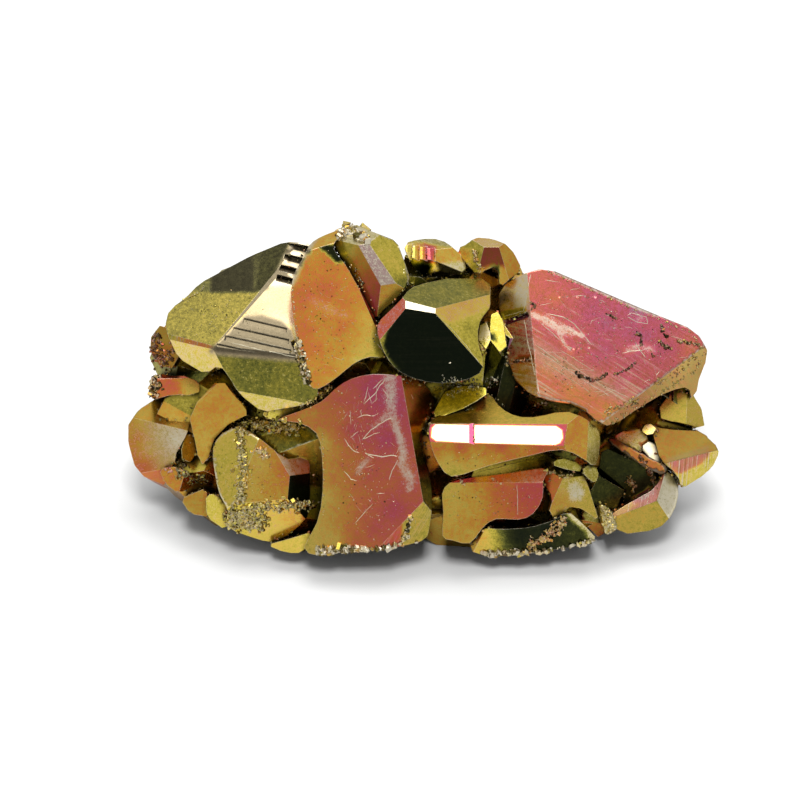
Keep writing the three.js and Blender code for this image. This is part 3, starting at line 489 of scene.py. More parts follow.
# Areas with a drawn outline: outline, film, tone, softness of the edge, and a place on the face it is on.
# Without an outline it is the whole face, and without a place it is every face inside the outline.
areasAt = {
    "summit upper": (((160, 292), (275, 292), (300, 238), (200, 250)), .2, -.08, 2, (262, 280)),
    "summit dark": (((211, 268), (240, 250), (254, 244), (254, 292),
        (211, 292)), .06, -.5, 2, (230, 285)),
    "summit brown": (((254, 240), (290, 236), (268, 291), (254, 291)), .13, -.3, 1.5, (262, 280)),
    "summit back": (((262, 240), (290, 240), (282, 264), (268, 290), (256, 290)), .12, -.6, 1.5, None),
    # the stair: its ledges painted pale as lit, and dark bands (stair a to e) as painted shade of the steps
    "summit stair": (((291, 241), (316, 241), (303, 262), (293, 286), (270, 286),
        (282, 264)), .46, .5, 1.5, None),
    "stair a": (((295, 246), (311, 250), (308, 255), (301, 253), (292, 250)), .08, -.75, .7, None),
    "stair b": (((288, 256), (305, 258), (302, 266), (293, 263), (284, 263)), .1, -.75, .7, None),
    "stair c": (((283, 265), (292, 266), (299, 270), (296, 275), (288, 271),
        (280, 270)), .12, -.78, .7, None),
    "stair d": (((278, 274), (293, 277), (290, 282), (275, 280)), .5, -.82, .7, None),
    "stair e": (((286, 249), (292, 250), (290, 254), (284, 253)), .1, -.7, .7, None),
    "summit ridge": (((205, 350), (230, 320), (300, 240), (310, 250),
        (215, 360)), .46, -.82, 1, (254, 300)),
    "shine low": (((246, 317), (262, 316), (282, 322), (291, 330), (302, 360),
        (208, 352)), .5, -.8, 2, None),
    "shine tan": (((246, 317), (262, 316), (282, 322), (291, 330), (292, 334),
        (234, 330)), .46, -.76, 3, None),
    "amber gap": (((318, 246), (333, 244), (347, 262), (338, 263)), .04, -.5, 1, (332, 254)),
    "bud steps a": (((402, 240), (415, 242), (415, 262), (402, 260)), .42, .15, 2, None),
    "bud steps b": (((415, 242), (424, 243), (424, 264), (415, 262)), .54, .1, 2, None),
    "bud steps c": (((424, 243), (437, 246), (437, 264), (424, 264)), .72, .1, 2, None),
    "bud front": (((437, 246), (472, 250), (470, 271), (434, 277), (428, 279)), .5, 0, 1.5, None),
    "bud foot": (((434, 264), (470, 260), (470, 274), (434, 279), (428, 279)), .4, .45, 1.5, None),
    "bud left": (((398, 256), (409, 258), (420, 279), (405, 288)), .3, -.3, 1.5, None),
    "knob low": (((474, 267), (512, 267), (516, 292), (476, 292)), .5, 0, 1, (492, 257)),
    "knob slot": (((490, 268), (499, 266), (499, 292), (491, 292)), 0, -.9, 1, (492, 257)),
    "mirror band": (((370, 318), (394, 322), (387, 332), (384, 346), (388, 358), (398, 371), (405, 382),
        (380, 384), (366, 350)), .32, 0, 1.2, (440, 350)),
    "mirror tan": (((428, 306), (492, 292), (492, 308), (448, 324)), .5, .2, 2, (470, 300)),
    "bar rim left": (None, .76, -.76, 1, (450, 434)),
    "bar rim right": (None, .76, -.76, 1, (520, 434)),
    # the bar's bright strip, painted pale as a highlight
    "bar shine left": (((432, 428), (436, 424), (470, 425), (470, 443), (436, 441),
        (431, 437)), .46, .9, .8, (450, 434)),
    "bar shine right": (((474, 425), (556, 426), (562, 430), (563, 438), (560, 443), (555, 445),
        (474, 443)), .46, .9, .8, (520, 434)),
    "bar divider": (((469, 420), (476, 420), (476, 448), (469, 448)), .8, .1, 1, (472, 434)),
    "plate grey": (((516, 268), (531, 268), (526, 312), (514, 312)), .5, .6, 2, (522, 290)),
    "plate ledge": (((498, 312), (526, 307), (526, 318), (498, 323)), .4, -.4, 1, (515, 314)),
    "plate spot": (((518, 356), (534, 355), (534, 361), (518, 363)), .6, -.6, 1, (526, 359)),
    "heel front": (((360, 490), (403, 495), (401, 556), (360, 556)), .67, -.3, 2, (415, 520)),
    "keel stripes": (((666, 459), (709, 445), (709, 457), (697, 466), (680, 474),
        (671, 470)), .7, -.1, 1.5, (690, 460)),
    "prow orange": (((610, 510), (632, 498), (638, 504), (616, 518)), .54, .1, 1, None),
    "prow purple": (((632, 498), (648, 488), (655, 492), (638, 504)), .92, .15, 1, None),
    "toe edge": (((563, 510), (573, 510), (599, 538), (592, 544), (585, 531),
        (571, 520)), .36, .5, 1.5, None),
    "glint spot": (((489, 334), (494, 333), (495, 339), (490, 340)), 0, -.9, 1, (498, 328)),
    "gap facet": (((352, 358), (364, 358), (364, 373)), .42, .2, 1, None),
    "gap olive": (((364, 357), (385, 357), (393, 373), (365, 373)), .28, 0, 1, None),
    "wedge patch": (((568, 486), (576, 482), (585, 490), (582, 500), (570, 500)), .44, .6, 2, (576, 492)),
}
# how far from an outline's plane and from its ends in the picture a corner may be
areaSet = {"depth": 4 * mm, "margin": 4}


def aroundOutline(outline, depth):
    # the corners near an outline that face the eye and stand near its plane
    near = cornerFront & (np.abs(cornerDepth - depth) < areaSet["depth"])
    for spots, ends in zip((cornerAcross, cornerDown), zip(*outline)):
        near &= (spots > min(ends) - areaSet["margin"]) & (spots < max(ends) + areaSet["margin"])
    return np.nonzero(near)[0]


def areaShares(name, outline, soft, place):
    # the corners that an area may reach, and how fully it covers each
    hit = seen(*(place or [sum(ends) / len(outline) for ends in zip(*outline)]))
    if not hit:
        print("no face for", name)
        return np.zeros(0, int), 0
    mine = cornersOf(hit[2]) if place else aroundOutline(outline, (eye - hit[0]).dot(eyeOut))
    if not outline:
        return mine, 1
    inside = insideOutline(cornerAcross[mine], cornerDown[mine], outline)
    return mine, np.clip(inside / soft * .5 + .5, 0, 1)


for name, (outline, film, tone, soft, place) in areasAt.items():
    mine, share = areaShares(name, outline, soft, place)
    cornerFilm[mine] += (film - cornerFilm[mine]) * share
    cornerTone[mine] += (tone - cornerTone[mine]) * share

# Dusty tan areas: outline, how dusty, softness of the edge, place
dustAt = {
    "summit stair": (((291, 238), (318, 238), (303, 262), (293, 286), (268, 288),
        (280, 264)), 1, 2, None),
    "summit ridge": (((205, 350), (230, 320), (300, 240), (310, 250), (215, 360)), 1, 1, (254, 300)),
    "shine": (((262, 283), (300, 283), (300, 326), (240, 322)), .9, 2, (275, 300)),
    "keel": (((666, 459), (709, 445), (709, 457), (697, 466), (680, 474), (671, 470)), .3, 1.5, None),
    "shine low": (((244, 315), (262, 314), (284, 320), (293, 330), (304, 362), (206, 354)), 1, 2, None),
    "plate": (None, .13, 1, (590, 320)),
    "plate end": (None, .3, 1, (660, 385)),
    "slab": (None, .07, 1, (360, 480)),
    "far left": (((150, 418), (200, 418), (190, 470), (158, 465)), .5, 12, (160, 436)),
    "plate band": (((526, 336), (540, 340), (600, 374), (646, 402), (636, 410), (590, 392), (545, 372),
        (530, 360)), .5, 9, (590, 380)),
    "peak strip": (((355, 235), (380, 235), (405, 292), (380, 292)), .35, 1, (378, 268)),
    "prow rim": (((605, 480), (665, 470), (665, 500), (612, 520)), .45, 1, (640, 500)),
    "summit west": (None, .16, 1, (215, 305)),
    "knob frame": (((476, 238), (504, 238), (506, 252), (476, 252)), .4, 1, (494, 243)),
}
for name, (outline, dust, soft, place) in dustAt.items():
    mine, share = areaShares(name, outline, soft, place)
    cornerDust[mine] = np.maximum(cornerDust[mine], share * dust)

# Rubbed and broken streaks: points with half width, then tone and film (None keeps it)
streaksAt = {
    "slab ridge": (((389, 377, 8), (391, 395, 6), (391, 412, 5), (396, 427, 5), (401, 440, 4),
        (403, 452, 5), (402, 463, 4), (407, 474, 6), (411, 479, 5), (409, 489, 3)), .5, None),
    "slab spur": (((392, 412, 5), (382, 419, 3), (374, 427, 2)), .4, None),
    "slab smudge": (((358, 472, 3), (361, 466, 5), (367, 461, 3)), .4, None),
    "plate scuff": (((532, 314, 3), (546, 320, 5), (558, 328, 7), (570, 331, 5),
        (582, 335, 2)), .5, None),
    "plate tail": (((560, 334, 3), (564, 344, 3), (572, 352, 2)), .4, None),
    "plate rub": (((628, 350, 3), (641, 346, 5), (652, 350, 3)), .35, None),
    "plate bare": (((640, 318, 5),), .25, None),
    "amber rub": (((312, 300, 5), (330, 310, 6), (345, 316, 4)), .2, None),
}
# places looked at along each part of a streak, and how far its full strength reaches over the half width
streakSet = {"steps": 8, "core": 1.4}
for name, (line, tone, film) in streaksAt.items():
    parts = list(zip(line, line[1:])) or [(line[0], line[0])]
    hits = [seen(*between(first, second, step / streakSet["steps"]))
            for first, second in parts for step in range(streakSet["steps"] + 1)]
    for number in {hit[2] for hit in hits if hit}:
        mine = cornersOf(number)
        share = np.zeros(len(mine))
        for first, second in parts:
            near = fromLine(cornerAcross[mine], cornerDown[mine], first, second)
            share = np.maximum(share, streakSet["core"] - near / ((first[2] + second[2]) / 2))
        share = np.clip(share, 0, 1)
        cornerTone[mine] += (tone - cornerTone[mine]) * share
        if film is not None:
            cornerFilm[mine] += (film - cornerFilm[mine]) * share

# How shut in each point is by what stands round it, for the crevice shade painted into the colour: rays go
# out from it, turned from one to the next
shadeSet = {
    "reach": 1.2 * mm,
    "rays": 10,
    "lift": .02 * mm,
    "lowest": .25,
    "rise": .7,
    "turn": 2.39996,
}
print("crevices")
sums = np.zeros((len(points), 3))
np.add.at(sums, cornerPoint, np.repeat(faceNormals, 3, axis=0))
sums /= np.linalg.norm(sums, axis=1)[:, None] + tiny
rays = []
for number in range(shadeSet["rays"]):
    above = shadeSet["lowest"] + shadeSet["rise"] * (number + .5) / shadeSet["rays"]
    turn = number * shadeSet["turn"]
    flat = math.sqrt(1 - above * above)
    rays.append((math.cos(turn) * flat, math.sin(turn) * flat, above))
creviceShade = np.zeros(len(points))
for number, (point, normal) in enumerate(zip(points, sums)):
    up = Vector(normal)
    side = up.orthogonal().normalized()
    other = up.cross(side)
    start = Vector(point) + up * shadeSet["lift"]
    blocked = 0
    for aside, ahead, above in rays:
        hit = tree.ray_cast(start, side * aside + other * ahead + up * above, shadeSet["reach"])
        if hit[0] is not None:
            blocked += 1 - hit[3] / shadeSet["reach"]
    creviceShade[number] = blocked / shadeSet["rays"]

# Steps and grooves that stay light: outline and the share of painted crevice shade left
openAt = {
    "summit shine": (((205, 283), (300, 283), (300, 360), (205, 352)), .12),
    "bud steps": (((403, 240), (437, 244), (437, 263), (403, 260)), .1),
    "bud front": (((437, 246), (470, 250), (466, 272), (434, 278)), .15),
    "moat": (((222, 440), (300, 440), (300, 500), (222, 500)), .5),
    "gap": (((352, 357), (385, 357), (393, 373), (352, 373)), .25),
    "plate grey": (((497, 268), (531, 268), (527, 312), (497, 312)), .2),
    "plate left": (((500, 318), (529, 318), (539, 398), (510, 362)), .35),
    "brick top": (((444, 470), (548, 462), (548, 482), (444, 490)), .3),
    "glints": (((474, 306), (508, 306), (508, 352), (474, 352)), .1),
}
pointFront = allTowardEye(points, sums)
for outline, share in openAt.values():
    creviceShade[pointFront & (insideOutline(pointAcross, pointDown, outline) > 0)] *= share


def giveValues(data, film, tone, lines=0, dust=0, shade=0):
    # what the tarnish material reads at each corner of a mesh, the painted crevice shade included
    given = {"film": film, "tone": tone, "lines": lines, "dust": dust, "creviceShade": shade}
    for name, got in given.items():
        layer = data.attributes.new(name, "FLOAT", "CORNER")
        layer.data.foreach_set("value", np.full(len(data.loops), got, np.float32))
    return data.uv_layers.new(name="faceMap")


faceMap = giveValues(mesh, cornerFilm, cornerTone, cornerLines, cornerDust, creviceShade[cornerPoint])
faceMap.data.foreach_set("uv", cornerSpot.astype(np.float32).ravel())


# materials
def linear(colour):
    return tuple(((c / 255 + .055) / 1.055) ** 2.4 if c > 10 else c / 255 / 12.92 for c in colour) + (1,)


# the film's value and its colour there
filmColours = (
    (0, (22, 28, 20)), (.1, (58, 60, 28)), (.2, (108, 108, 48)), (.3, (154, 142, 56)),
    (.38, (188, 172, 68)), (.46, (206, 176, 80)), (.52, (198, 150, 56)), (.58, (198, 120, 54)),
    (.66, (194, 94, 66)), (.74, (186, 74, 84)), (.82, (178, 62, 102)), (.9, (138, 88, 114)),
    (1, (134, 124, 122)),
)


class Recipe:
    def __init__(self, name):
        self.material = bpy.data.materials.new(name)
        self.material.use_nodes = True
        self.tree = self.material.node_tree
        self.shader = self.tree.nodes["Principled BSDF"]

    def add(self, kind, inputs=None, **settings):
        node = self.tree.nodes.new(kind)
        for name, value in settings.items():
            setattr(node, name, value)
        for name, value in (inputs or {}).items():
            socket = node.inputs[name]
            if isinstance(value, bpy.types.NodeSocket):
                self.tree.links.new(value, socket)
            else:
                socket.default_value = value
        return node

    def math(self, operation, first, second=0.0, third=0.0):
        node = self.add("ShaderNodeMath", {0: first, 1: second, 2: third}, operation=operation)
        return node.outputs[0]

    def times(self, first, *others):
        for other in others:
            first = self.math("MULTIPLY", first, other)
        return first

    def plus(self, first, second):
        return self.math("ADD", first, second)

    def centred(self, pattern, size):
        # a pattern of 0 to 1, made to swing round 0
        return self.math("MULTIPLY_ADD", pattern, size, -size / 2)

    def span(self, value, low, high, first, last):
        return self.add("ShaderNodeMapRange", {0: value, 1: low, 2: high, 3: first, 4: last}).outputs[0]

    def mix(self, share, first, second):
        return self.add("ShaderNodeMix", {0: share, 6: first, 7: second}, data_type="RGBA").outputs[2]

    def value(self, name):
        return self.add("ShaderNodeAttribute", attribute_name=name).outputs["Fac"]

    def stretched(self, spot, scale):
        return self.add("ShaderNodeMapping", {"Vector": spot, "Scale": scale}).outputs[0]

    def noise(self, spot, scale, detail, rough=.5):
        inputs = {"Vector": spot, "Scale": scale, "Detail": detail, "Roughness": rough}
        return self.add("ShaderNodeTexNoise", inputs).outputs[0]

    def metal(self, roughness):
        self.shader.inputs["Metallic"].default_value = 1
        self.shader.inputs["Roughness"].default_value = roughness

    def wire(self, output, name):
        self.tree.links.new(output, self.shader.inputs[name])


def filmRamp(recipe, value):
    ramp = recipe.add("ShaderNodeValToRGB", {0: value})
    stops = ramp.color_ramp.elements
    while len(stops) > 1:
        stops.remove(stops[-1])
    stops[0].position = filmColours[0][0]
    stops[0].color = linear(filmColours[0][1])
    for place, colour in filmColours[1:]:
        stops.new(place).color = linear(colour)
    return ramp.outputs[0]


tarnishSet = {
    "dust": (178, 160, 128),
    # pale colour of worn metal, also the colour of painted highlights
    "wearAndHighlight": (206, 198, 176),
    # near-black colour of dull faces and of painted shade
    "deep": (16, 20, 12),
    "edge": .09 * mm,
    "relief": .02 * mm,
    "bump": .35,
    # each pattern: how many to a mm, detail, roughness
    "clouds": (.55, 2.0, .5),
    "mottle": (2.6, 5.0, .7),
    "grit": (8.0, 3.0, .7),
    "waves": (1.1, 1.0, .5),
    # growth lines and the bands they come in: how fine along the lines and over them
    "lineScale": (.12, 1.6, 1.0),
    "bandScale": (.04, .35, 1.0),
    # how far each shifts the film, the speckle, the roughness and the height
    "filmShift": {"clouds": .12, "mottle": .3, "grit": .26, "lines": .05},
    "lineTone": .26,
    "speckle": {"mottle": 1.1, "grit": 1.2, "pale": .9},
    "rough": {"least": .14, "mottle": .2, "pale": .14, "deep": .3},
    "height": {"lines": .7, "grit": .05, "waves": .35},
    # each span: a value's low and high end, and what comes out there
    "spans": {
        "sharpLines": (.35, .65, -1.0, 1.0),
        "wander": (0.0, .2, .2, 1.0),
        "bands": (.42, .58, .15, 1.0),
        "lineDust": (0.0, .8, 0.0, .85),
        "rim": (.996, .95, 0.0, 1.0),
        "rimPatch": (.36, .6, .15, .85),
        "clear": (.02, .1, 1.0, 0.0),
        "pale": (.16, .75, 0.0, .95),
        "calm": (-.9, -.1, .15, .75),
        "dullAndShade": (0.0, -1.0, 0.0, .95),
        "deep": (.06, .5, 0.0, .88),
    },
}


def tarnishAndPaintedLight():
    # the film's colours, with painted crevice shade and painted highlights mixed in
    recipe = Recipe("tarnishAndPaintedLight")
    spans = tarnishSet["spans"]
    objectSpot = recipe.add("ShaderNodeTexCoord").outputs["Object"]
    inMm = {0: objectSpot, "Scale": 1 / mm}
    spot = recipe.add("ShaderNodeVectorMath", inMm, operation="SCALE").outputs[0]
    film, tone = recipe.value("film"), recipe.value("tone")
    lineShare, creviceShade = recipe.value("lines"), recipe.value("creviceShade")
    clouds, mottle, grit, waves = (
        recipe.noise(spot, *tarnishSet[name]) for name in ("clouds", "mottle", "grit", "waves"))
    faceSpot = recipe.add("ShaderNodeUVMap", uv_map="faceMap").outputs[0]
    lines = recipe.noise(recipe.stretched(faceSpot, tarnishSet["lineScale"]), 1.0, 3.0, .65)
    sharpLines = recipe.times(recipe.span(lines, *spans["sharpLines"]), lineShare)
    # film thickness wanders a little
    shifts = tarnishSet["filmShift"]
    wander = recipe.plus(recipe.centred(clouds, shifts["clouds"]), recipe.centred(mottle, shifts["mottle"]))
    wander = recipe.plus(wander, recipe.centred(grit, shifts["grit"]))
    wander = recipe.times(wander, recipe.span(film, *spans["wander"]))
    total = recipe.plus(recipe.plus(film, wander), recipe.times(sharpLines, shifts["lines"]))
    colour = filmRamp(recipe, total)
    # growth lines go tan and dark by turns, in bands
    bands = recipe.noise(recipe.stretched(faceSpot, tarnishSet["bandScale"]), 1.0, 1.0)
    lineAll = recipe.times(sharpLines, recipe.span(bands, *spans["bands"]))
    dusty = recipe.math("MAXIMUM", recipe.span(lineAll, *spans["lineDust"]), recipe.value("dust"))
    colour = recipe.mix(dusty, colour, linear(tarnishSet["dust"]))
    toneAll = recipe.math("MULTIPLY_ADD", lineAll, tarnishSet["lineTone"], tone)
    # rubbed rims
    rounded = recipe.add("ShaderNodeBevel", {"Radius": tarnishSet["edge"]}, samples=6).outputs[0]
    flat = recipe.add("ShaderNodeNewGeometry").outputs["True Normal"]
    both = {0: rounded, 1: flat}
    same = recipe.add("ShaderNodeVectorMath", both, operation="DOT_PRODUCT").outputs["Value"]
    wearAndHighlight = recipe.times(recipe.span(same, *spans["rim"]), recipe.span(mottle, *spans["rimPatch"]),
                        recipe.span(creviceShade, *spans["clear"]))
    # pale and dull speckle, calmer where a face is already dark
    shares = tarnishSet["speckle"]
    speckle = recipe.plus(recipe.centred(mottle, shares["mottle"]), recipe.centred(grit, shares["grit"]))
    # pale patches where the tone is high: worn metal, and on a few faces painted highlights
    patch = recipe.span(recipe.math("MULTIPLY_ADD", speckle, shares["pale"], toneAll), *spans["pale"])
    pale = recipe.math("MAXIMUM", wearAndHighlight, patch)
    colour = recipe.mix(pale, colour, linear(tarnishSet["wearAndHighlight"]))
    calm = recipe.times(speckle, recipe.span(tone, *spans["calm"]))
    # dark where the tone is low: dull faces, and the painted shade on the stair
    dullAndShade = recipe.span(recipe.plus(toneAll, calm), *spans["dullAndShade"])
    # painted crevice shade: the colour goes near-black where a point is shut in
    deep = recipe.span(creviceShade, *spans["deep"])
    colour = recipe.mix(recipe.math("MAXIMUM", dullAndShade, deep), colour, linear(tarnishSet["deep"]))
    recipe.wire(colour, "Base Color")
    roughs = tarnishSet["rough"]
    recipe.metal(roughs["least"])
    rough = recipe.math("MULTIPLY_ADD", mottle, roughs["mottle"], roughs["least"])
    rough = recipe.math("MULTIPLY_ADD", pale, roughs["pale"], rough)
    rough = recipe.math("MULTIPLY_ADD", deep, roughs["deep"], rough)
    recipe.wire(rough, "Roughness")
    heights = tarnishSet["height"]
    height = recipe.times(lines, lineShare, heights["lines"])
    height = recipe.math("MULTIPLY_ADD", grit, heights["grit"], height)
    height = recipe.math("MULTIPLY_ADD", waves, heights["waves"], height)
    bump = {"Strength": tarnishSet["bump"], "Distance": tarnishSet["relief"]}
    bump.update({"Height": height, "Normal": rounded})
    recipe.wire(recipe.add("ShaderNodeBump", bump).outputs[0], "Normal")
    return recipe.material


print("materials")
tarnished = tarnishAndPaintedLight()
skin.data.materials.append(tarnished)
skin.data.polygons.foreach_set("material_index", [0] * len(skin.data.polygons))
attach(skin, "root")
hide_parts("crystal_cluster")

# grains
# Crusts of small crystals: points along the crust, half width, count, size in mm, film, tone
crustsAt = {
    "moat top": (((240, 426), (262, 423), (285, 427), (300, 431)), 8, 300, (.14, .4), .4, -.1),
    "moat band": (((241, 425), (243, 470), (240, 505)), 6, 260, (.12, .34), .4, -.1),
    "moat low": (((228, 512), (245, 512), (262, 506), (290, 506),
        (312, 504)), 6, 260, (.12, .36), .41, -.1),
    "moat foot": (((228, 520), (245, 522), (262, 522)), 11, 280, (.12, .36), .4, -.08),
    "moat nook": (((258, 448), (266, 456)), 6, 70, (.12, .3), .46, 0),
    "summit break": (((296, 340), (301, 358), (309, 384)), 5, 170, (.12, .34), .46, .3),
    "peak break": (((338, 238), (350, 229), (366, 240)), 4.5, 110, (.16, .5), .46, .6),
    "slab break": (((318, 552), (345, 549), (372, 551), (400, 549),
        (425, 543)), 4.5, 300, (.14, .5), .46, .6),
    "heel break": (((400, 545), (408, 530), (410, 515)), 3, 60, (.12, .3), .44, .2),
    "slab notch": (((330, 386), (322, 395), (315, 402), (300, 408)), 4, 90, (.12, .3), .46, .3),
    "toe grains": (((525, 548), (540, 540), (556, 530), (565, 518)), 6, 130, (.14, .34), .52, 0),
    "toe break": (((482, 554), (500, 553), (545, 552), (575, 548),
        (596, 540)), 3.5, 230, (.14, .44), .46, .6),
    "left break": (((152, 374), (156, 386), (150, 398)), 6, 110, (.14, .36), .5, .1),
    "left nub": (((156, 332), (154, 350), (162, 364), (172, 352)), 7, 130, (.12, .28), .6, -.5),
    "left hole": (((178, 462), (185, 478), (205, 478)), 8, 100, (.12, .3), .3, -.3),
    "left spot": (((170, 470),), 4, 20, (.1, .2), .7, .2),
    "plate corner": (((655, 386), (675, 374), (696, 356)), 6, 60, (.08, .18), .52, -.2),
    "plate foot": (((607, 412), (622, 406), (640, 400)), 6, 60, (.08, .2), .5, -.2),
    "deep mid": (((440, 382), (480, 384), (498, 378)), 6, 80, (.1, .24), .1, 0),
    "right spot": (((628, 478), (634, 488)), 4, 50, (.12, .26), .5, .1),
    "wing grains": (((604, 508), (612, 530)), 6, 90, (.14, .34), .4, .3),
    "green rough": (((442, 396), (460, 390), (480, 388)), 5, 60, (.06, .16), .38, 0),
    # pale grains that paint sparkles of light
    "sparks": (((533, 405), (549, 404)), 2, 9, (.14, .26), .4, 1),
    "teal sparks": (((493, 376), (499, 388)), 2, 5, (.14, .24), .4, 1),
    "plate rim": (((548, 271), (600, 294), (650, 316), (690, 332),
        (704, 350)), .9, 120, (.05, .15), .44, 0),
    "plate side": (((706, 352), (694, 372), (672, 386), (646, 402),
        (612, 423)), 2.5, 90, (.06, .18), .44, -.1),
    "knob chips": (((474, 250), (477, 262), (481, 272)), 2.6, 44, (.1, .26), .46, .2),
    "brick chips": (((460, 480), (466, 486)), 1.6, 16, (.1, .22), .44, .4),
    "brick chips right": (((493, 478), (500, 484)), 1.6, 12, (.08, .18), .44, .4),
    "red chips": (((640, 456), (650, 472), (656, 488)), 2.2, 60, (.1, .26), .62, -.3),
    "roof chips": (((205, 286), (196, 294), (182, 301)), 1, 20, (.06, .16), .36, 0),
    "slab side": (((322, 430), (324, 470), (323, 515)), .8, 40, (.05, .14), .44, .1),
    "amber side": (((292, 282), (294, 310), (298, 336)), .8, 40, (.06, .16), .46, .2),
    "brick edge": (((545, 470), (560, 476), (572, 474)), 4, 40, (.1, .24), .44, .2),
    "mirror dot": (((450, 363),), .1, 2, (.12, .16), .46, 1),
    # fine specks
    "plate specks": (((545, 300), (600, 330), (665, 350)), 38, 240, (.04, .1), .46, .5),
    "plate low specks": (((550, 362), (600, 390)), 26, 110, (.04, .1), .5, .3),
    "slab specks": (((350, 395), (362, 450), (365, 535)), 36, 260, (.04, .1), .48, .4),
    "amber specks": (((315, 270), (325, 320), (335, 370)), 34, 220, (.04, .09), .5, .3),
    "bar specks": (((445, 460), (500, 455), (580, 445)), 8, 60, (.04, .09), .5, .2),
    "brick specks": (((460, 500), (530, 500)), 22, 90, (.04, .09), .5, .2),
    "moat specks": (((228, 470), (270, 480)), 26, 120, (.04, .1), .46, .1),
    "summit specks": (((190, 318), (245, 312)), 26, 120, (.04, .1), .42, .1),
    # brown pits on the big pink face
    "pits a": (((575, 371), (579, 376), (586, 377), (592, 381), (599, 379),
        (607, 373)), 1.5, 60, (.12, .26), .6, -.75),
    "pits b": (((614, 374), (621, 372), (628, 369), (635, 362)), 1, 34, (.1, .2), .6, -.7),
    "pits c": (((607, 314), (612, 316), (617, 319)), 1.2, 22, (.1, .22), .6, -.7),
    "pits d": (((637, 333), (642, 336), (641, 346)), 1.4, 26, (.1, .22), .6, -.7),
    "pits e": (((661, 324), (663, 333), (667, 337)), 1.4, 26, (.1, .24), .58, -.65),
    "pits f": (((660, 340), (664, 346), (672, 349)), 1.8, 34, (.1, .24), .58, -.6),
    "pits g": (((677, 341), (686, 342), (695, 344), (703, 348)), 1.8, 50, (.1, .24), .56, -.5),
    "pits h": (((652, 354), (654, 358)), 1, 8, (.1, .2), .6, -.7),
    "pits i": (((530, 303), (536, 305), (530, 311)), 1.2, 20, (.1, .22), .58, -.6),
    "pits k": (((512, 362), (522, 361), (532, 359)), 1.6, 34, (.12, .26), .58, -.6),
}
grainSet = {
    # how wide grains spread over a crust's half width, and how far one stands out over its size
    "spread": .45,
    "lift": .12,
    # drawn by chance for each grain: stretch of its sides, shift of film and tone
    "stretch": (.5, 1.5),
    "filmShift": (-.08, .08),
    "toneShift": (-.5, .3),
    "brokenShifts": (-1.4, -.9, 0, .3, .4),
    # forms: the cube's cut corners and the pyramid's size
    "cutCorners": (0, 3, 6),
    "cut": .4,
    "pyramid": {"vertices": 4, "radius1": .75, "depth": .8},
    # grains in the crevices: where a point is shut in by more than this, and higher than this
    "creviceCount": 2500,
    "creviceShut": .12,
    "creviceFrom": 1.5 * mm,
    "creviceSize": (.08, .24),
    "creviceFilms": (.1, .2, .3, .44, .5, .6),
    "creviceTones": (-.8, .5),
    # stones that close the gap under the big pink face, behind what is seen there
    "stonesAt": {"left": (670, 399), "right": (680, 399)},
    "stone": {"size": 1.7, "behind": 1 * mm, "raised": .4 * mm, "film": .2, "tone": -.5},
}


def grainForms():
    # a cube, a cube with three corners off and a low pyramid
    forms = []
    for kind in ("cube", "cut cube", "pyramid"):
        bpy.ops.object.select_all(action="DESELECT")
        if kind == "pyramid":
            bpy.ops.mesh.primitive_cone_add(**grainSet["pyramid"])
        else:
            bpy.ops.mesh.primitive_cube_add(size=1)
        one = bpy.context.object
        if kind == "cut cube":
            bpy.ops.object.mode_set(mode="EDIT")
            bpy.ops.mesh.select_all(action="DESELECT")
            editOff()
            for corner in grainSet["cutCorners"]:
                one.data.vertices[corner].select = True
            bpy.ops.object.mode_set(mode="EDIT")
            bpy.ops.mesh.select_mode(type="VERT")
            bpy.ops.mesh.bevel(offset=grainSet["cut"], affect="VERTICES")
            editOff()
        data = one.data
        data.calc_loop_triangles()
        forms.append((np.array([v.co for v in data.vertices]),
                      np.array([t.vertices for t in data.loop_triangles])))
        bpy.data.objects.remove(one)
        bpy.data.meshes.remove(data)
    return forms


print("grains")
forms = grainForms()
grainPoints, grainFaces, grainFilm, grainTone = [], [], [], []
grainCount = 0


def addGrain(spot, normal, size, film, tone):
    global grainCount
    verts, faces = rng.choice(forms)
    stretch = np.array([rng.uniform(*grainSet["stretch"]) for axis in range(3)])
    spin = Quaternion([rng.gauss(0, 1) for axis in range(4)]).normalized().to_matrix()
    centre = spot + normal * size * grainSet["lift"] * mm
    grainPoints.append((verts * stretch * size * mm) @ np.array(spin).T + np.array(centre))
    grainFaces.append(faces + grainCount)
    grainCount += len(verts)
    grainFilm.extend([film] * len(faces) * 3)
    grainTone.extend([tone] * len(faces) * 3)


def joinedPiece(name, spots, faces, material):
    data = bpy.data.meshes.new(name)
    data.from_pydata([tuple(spot) for spot in spots], [], [tuple(int(i) for i in face) for face in faces])
    data.materials.append(material)
    thing = bpy.data.objects.new(name, data)
    bpy.context.scene.collection.objects.link(thing)
    return thing


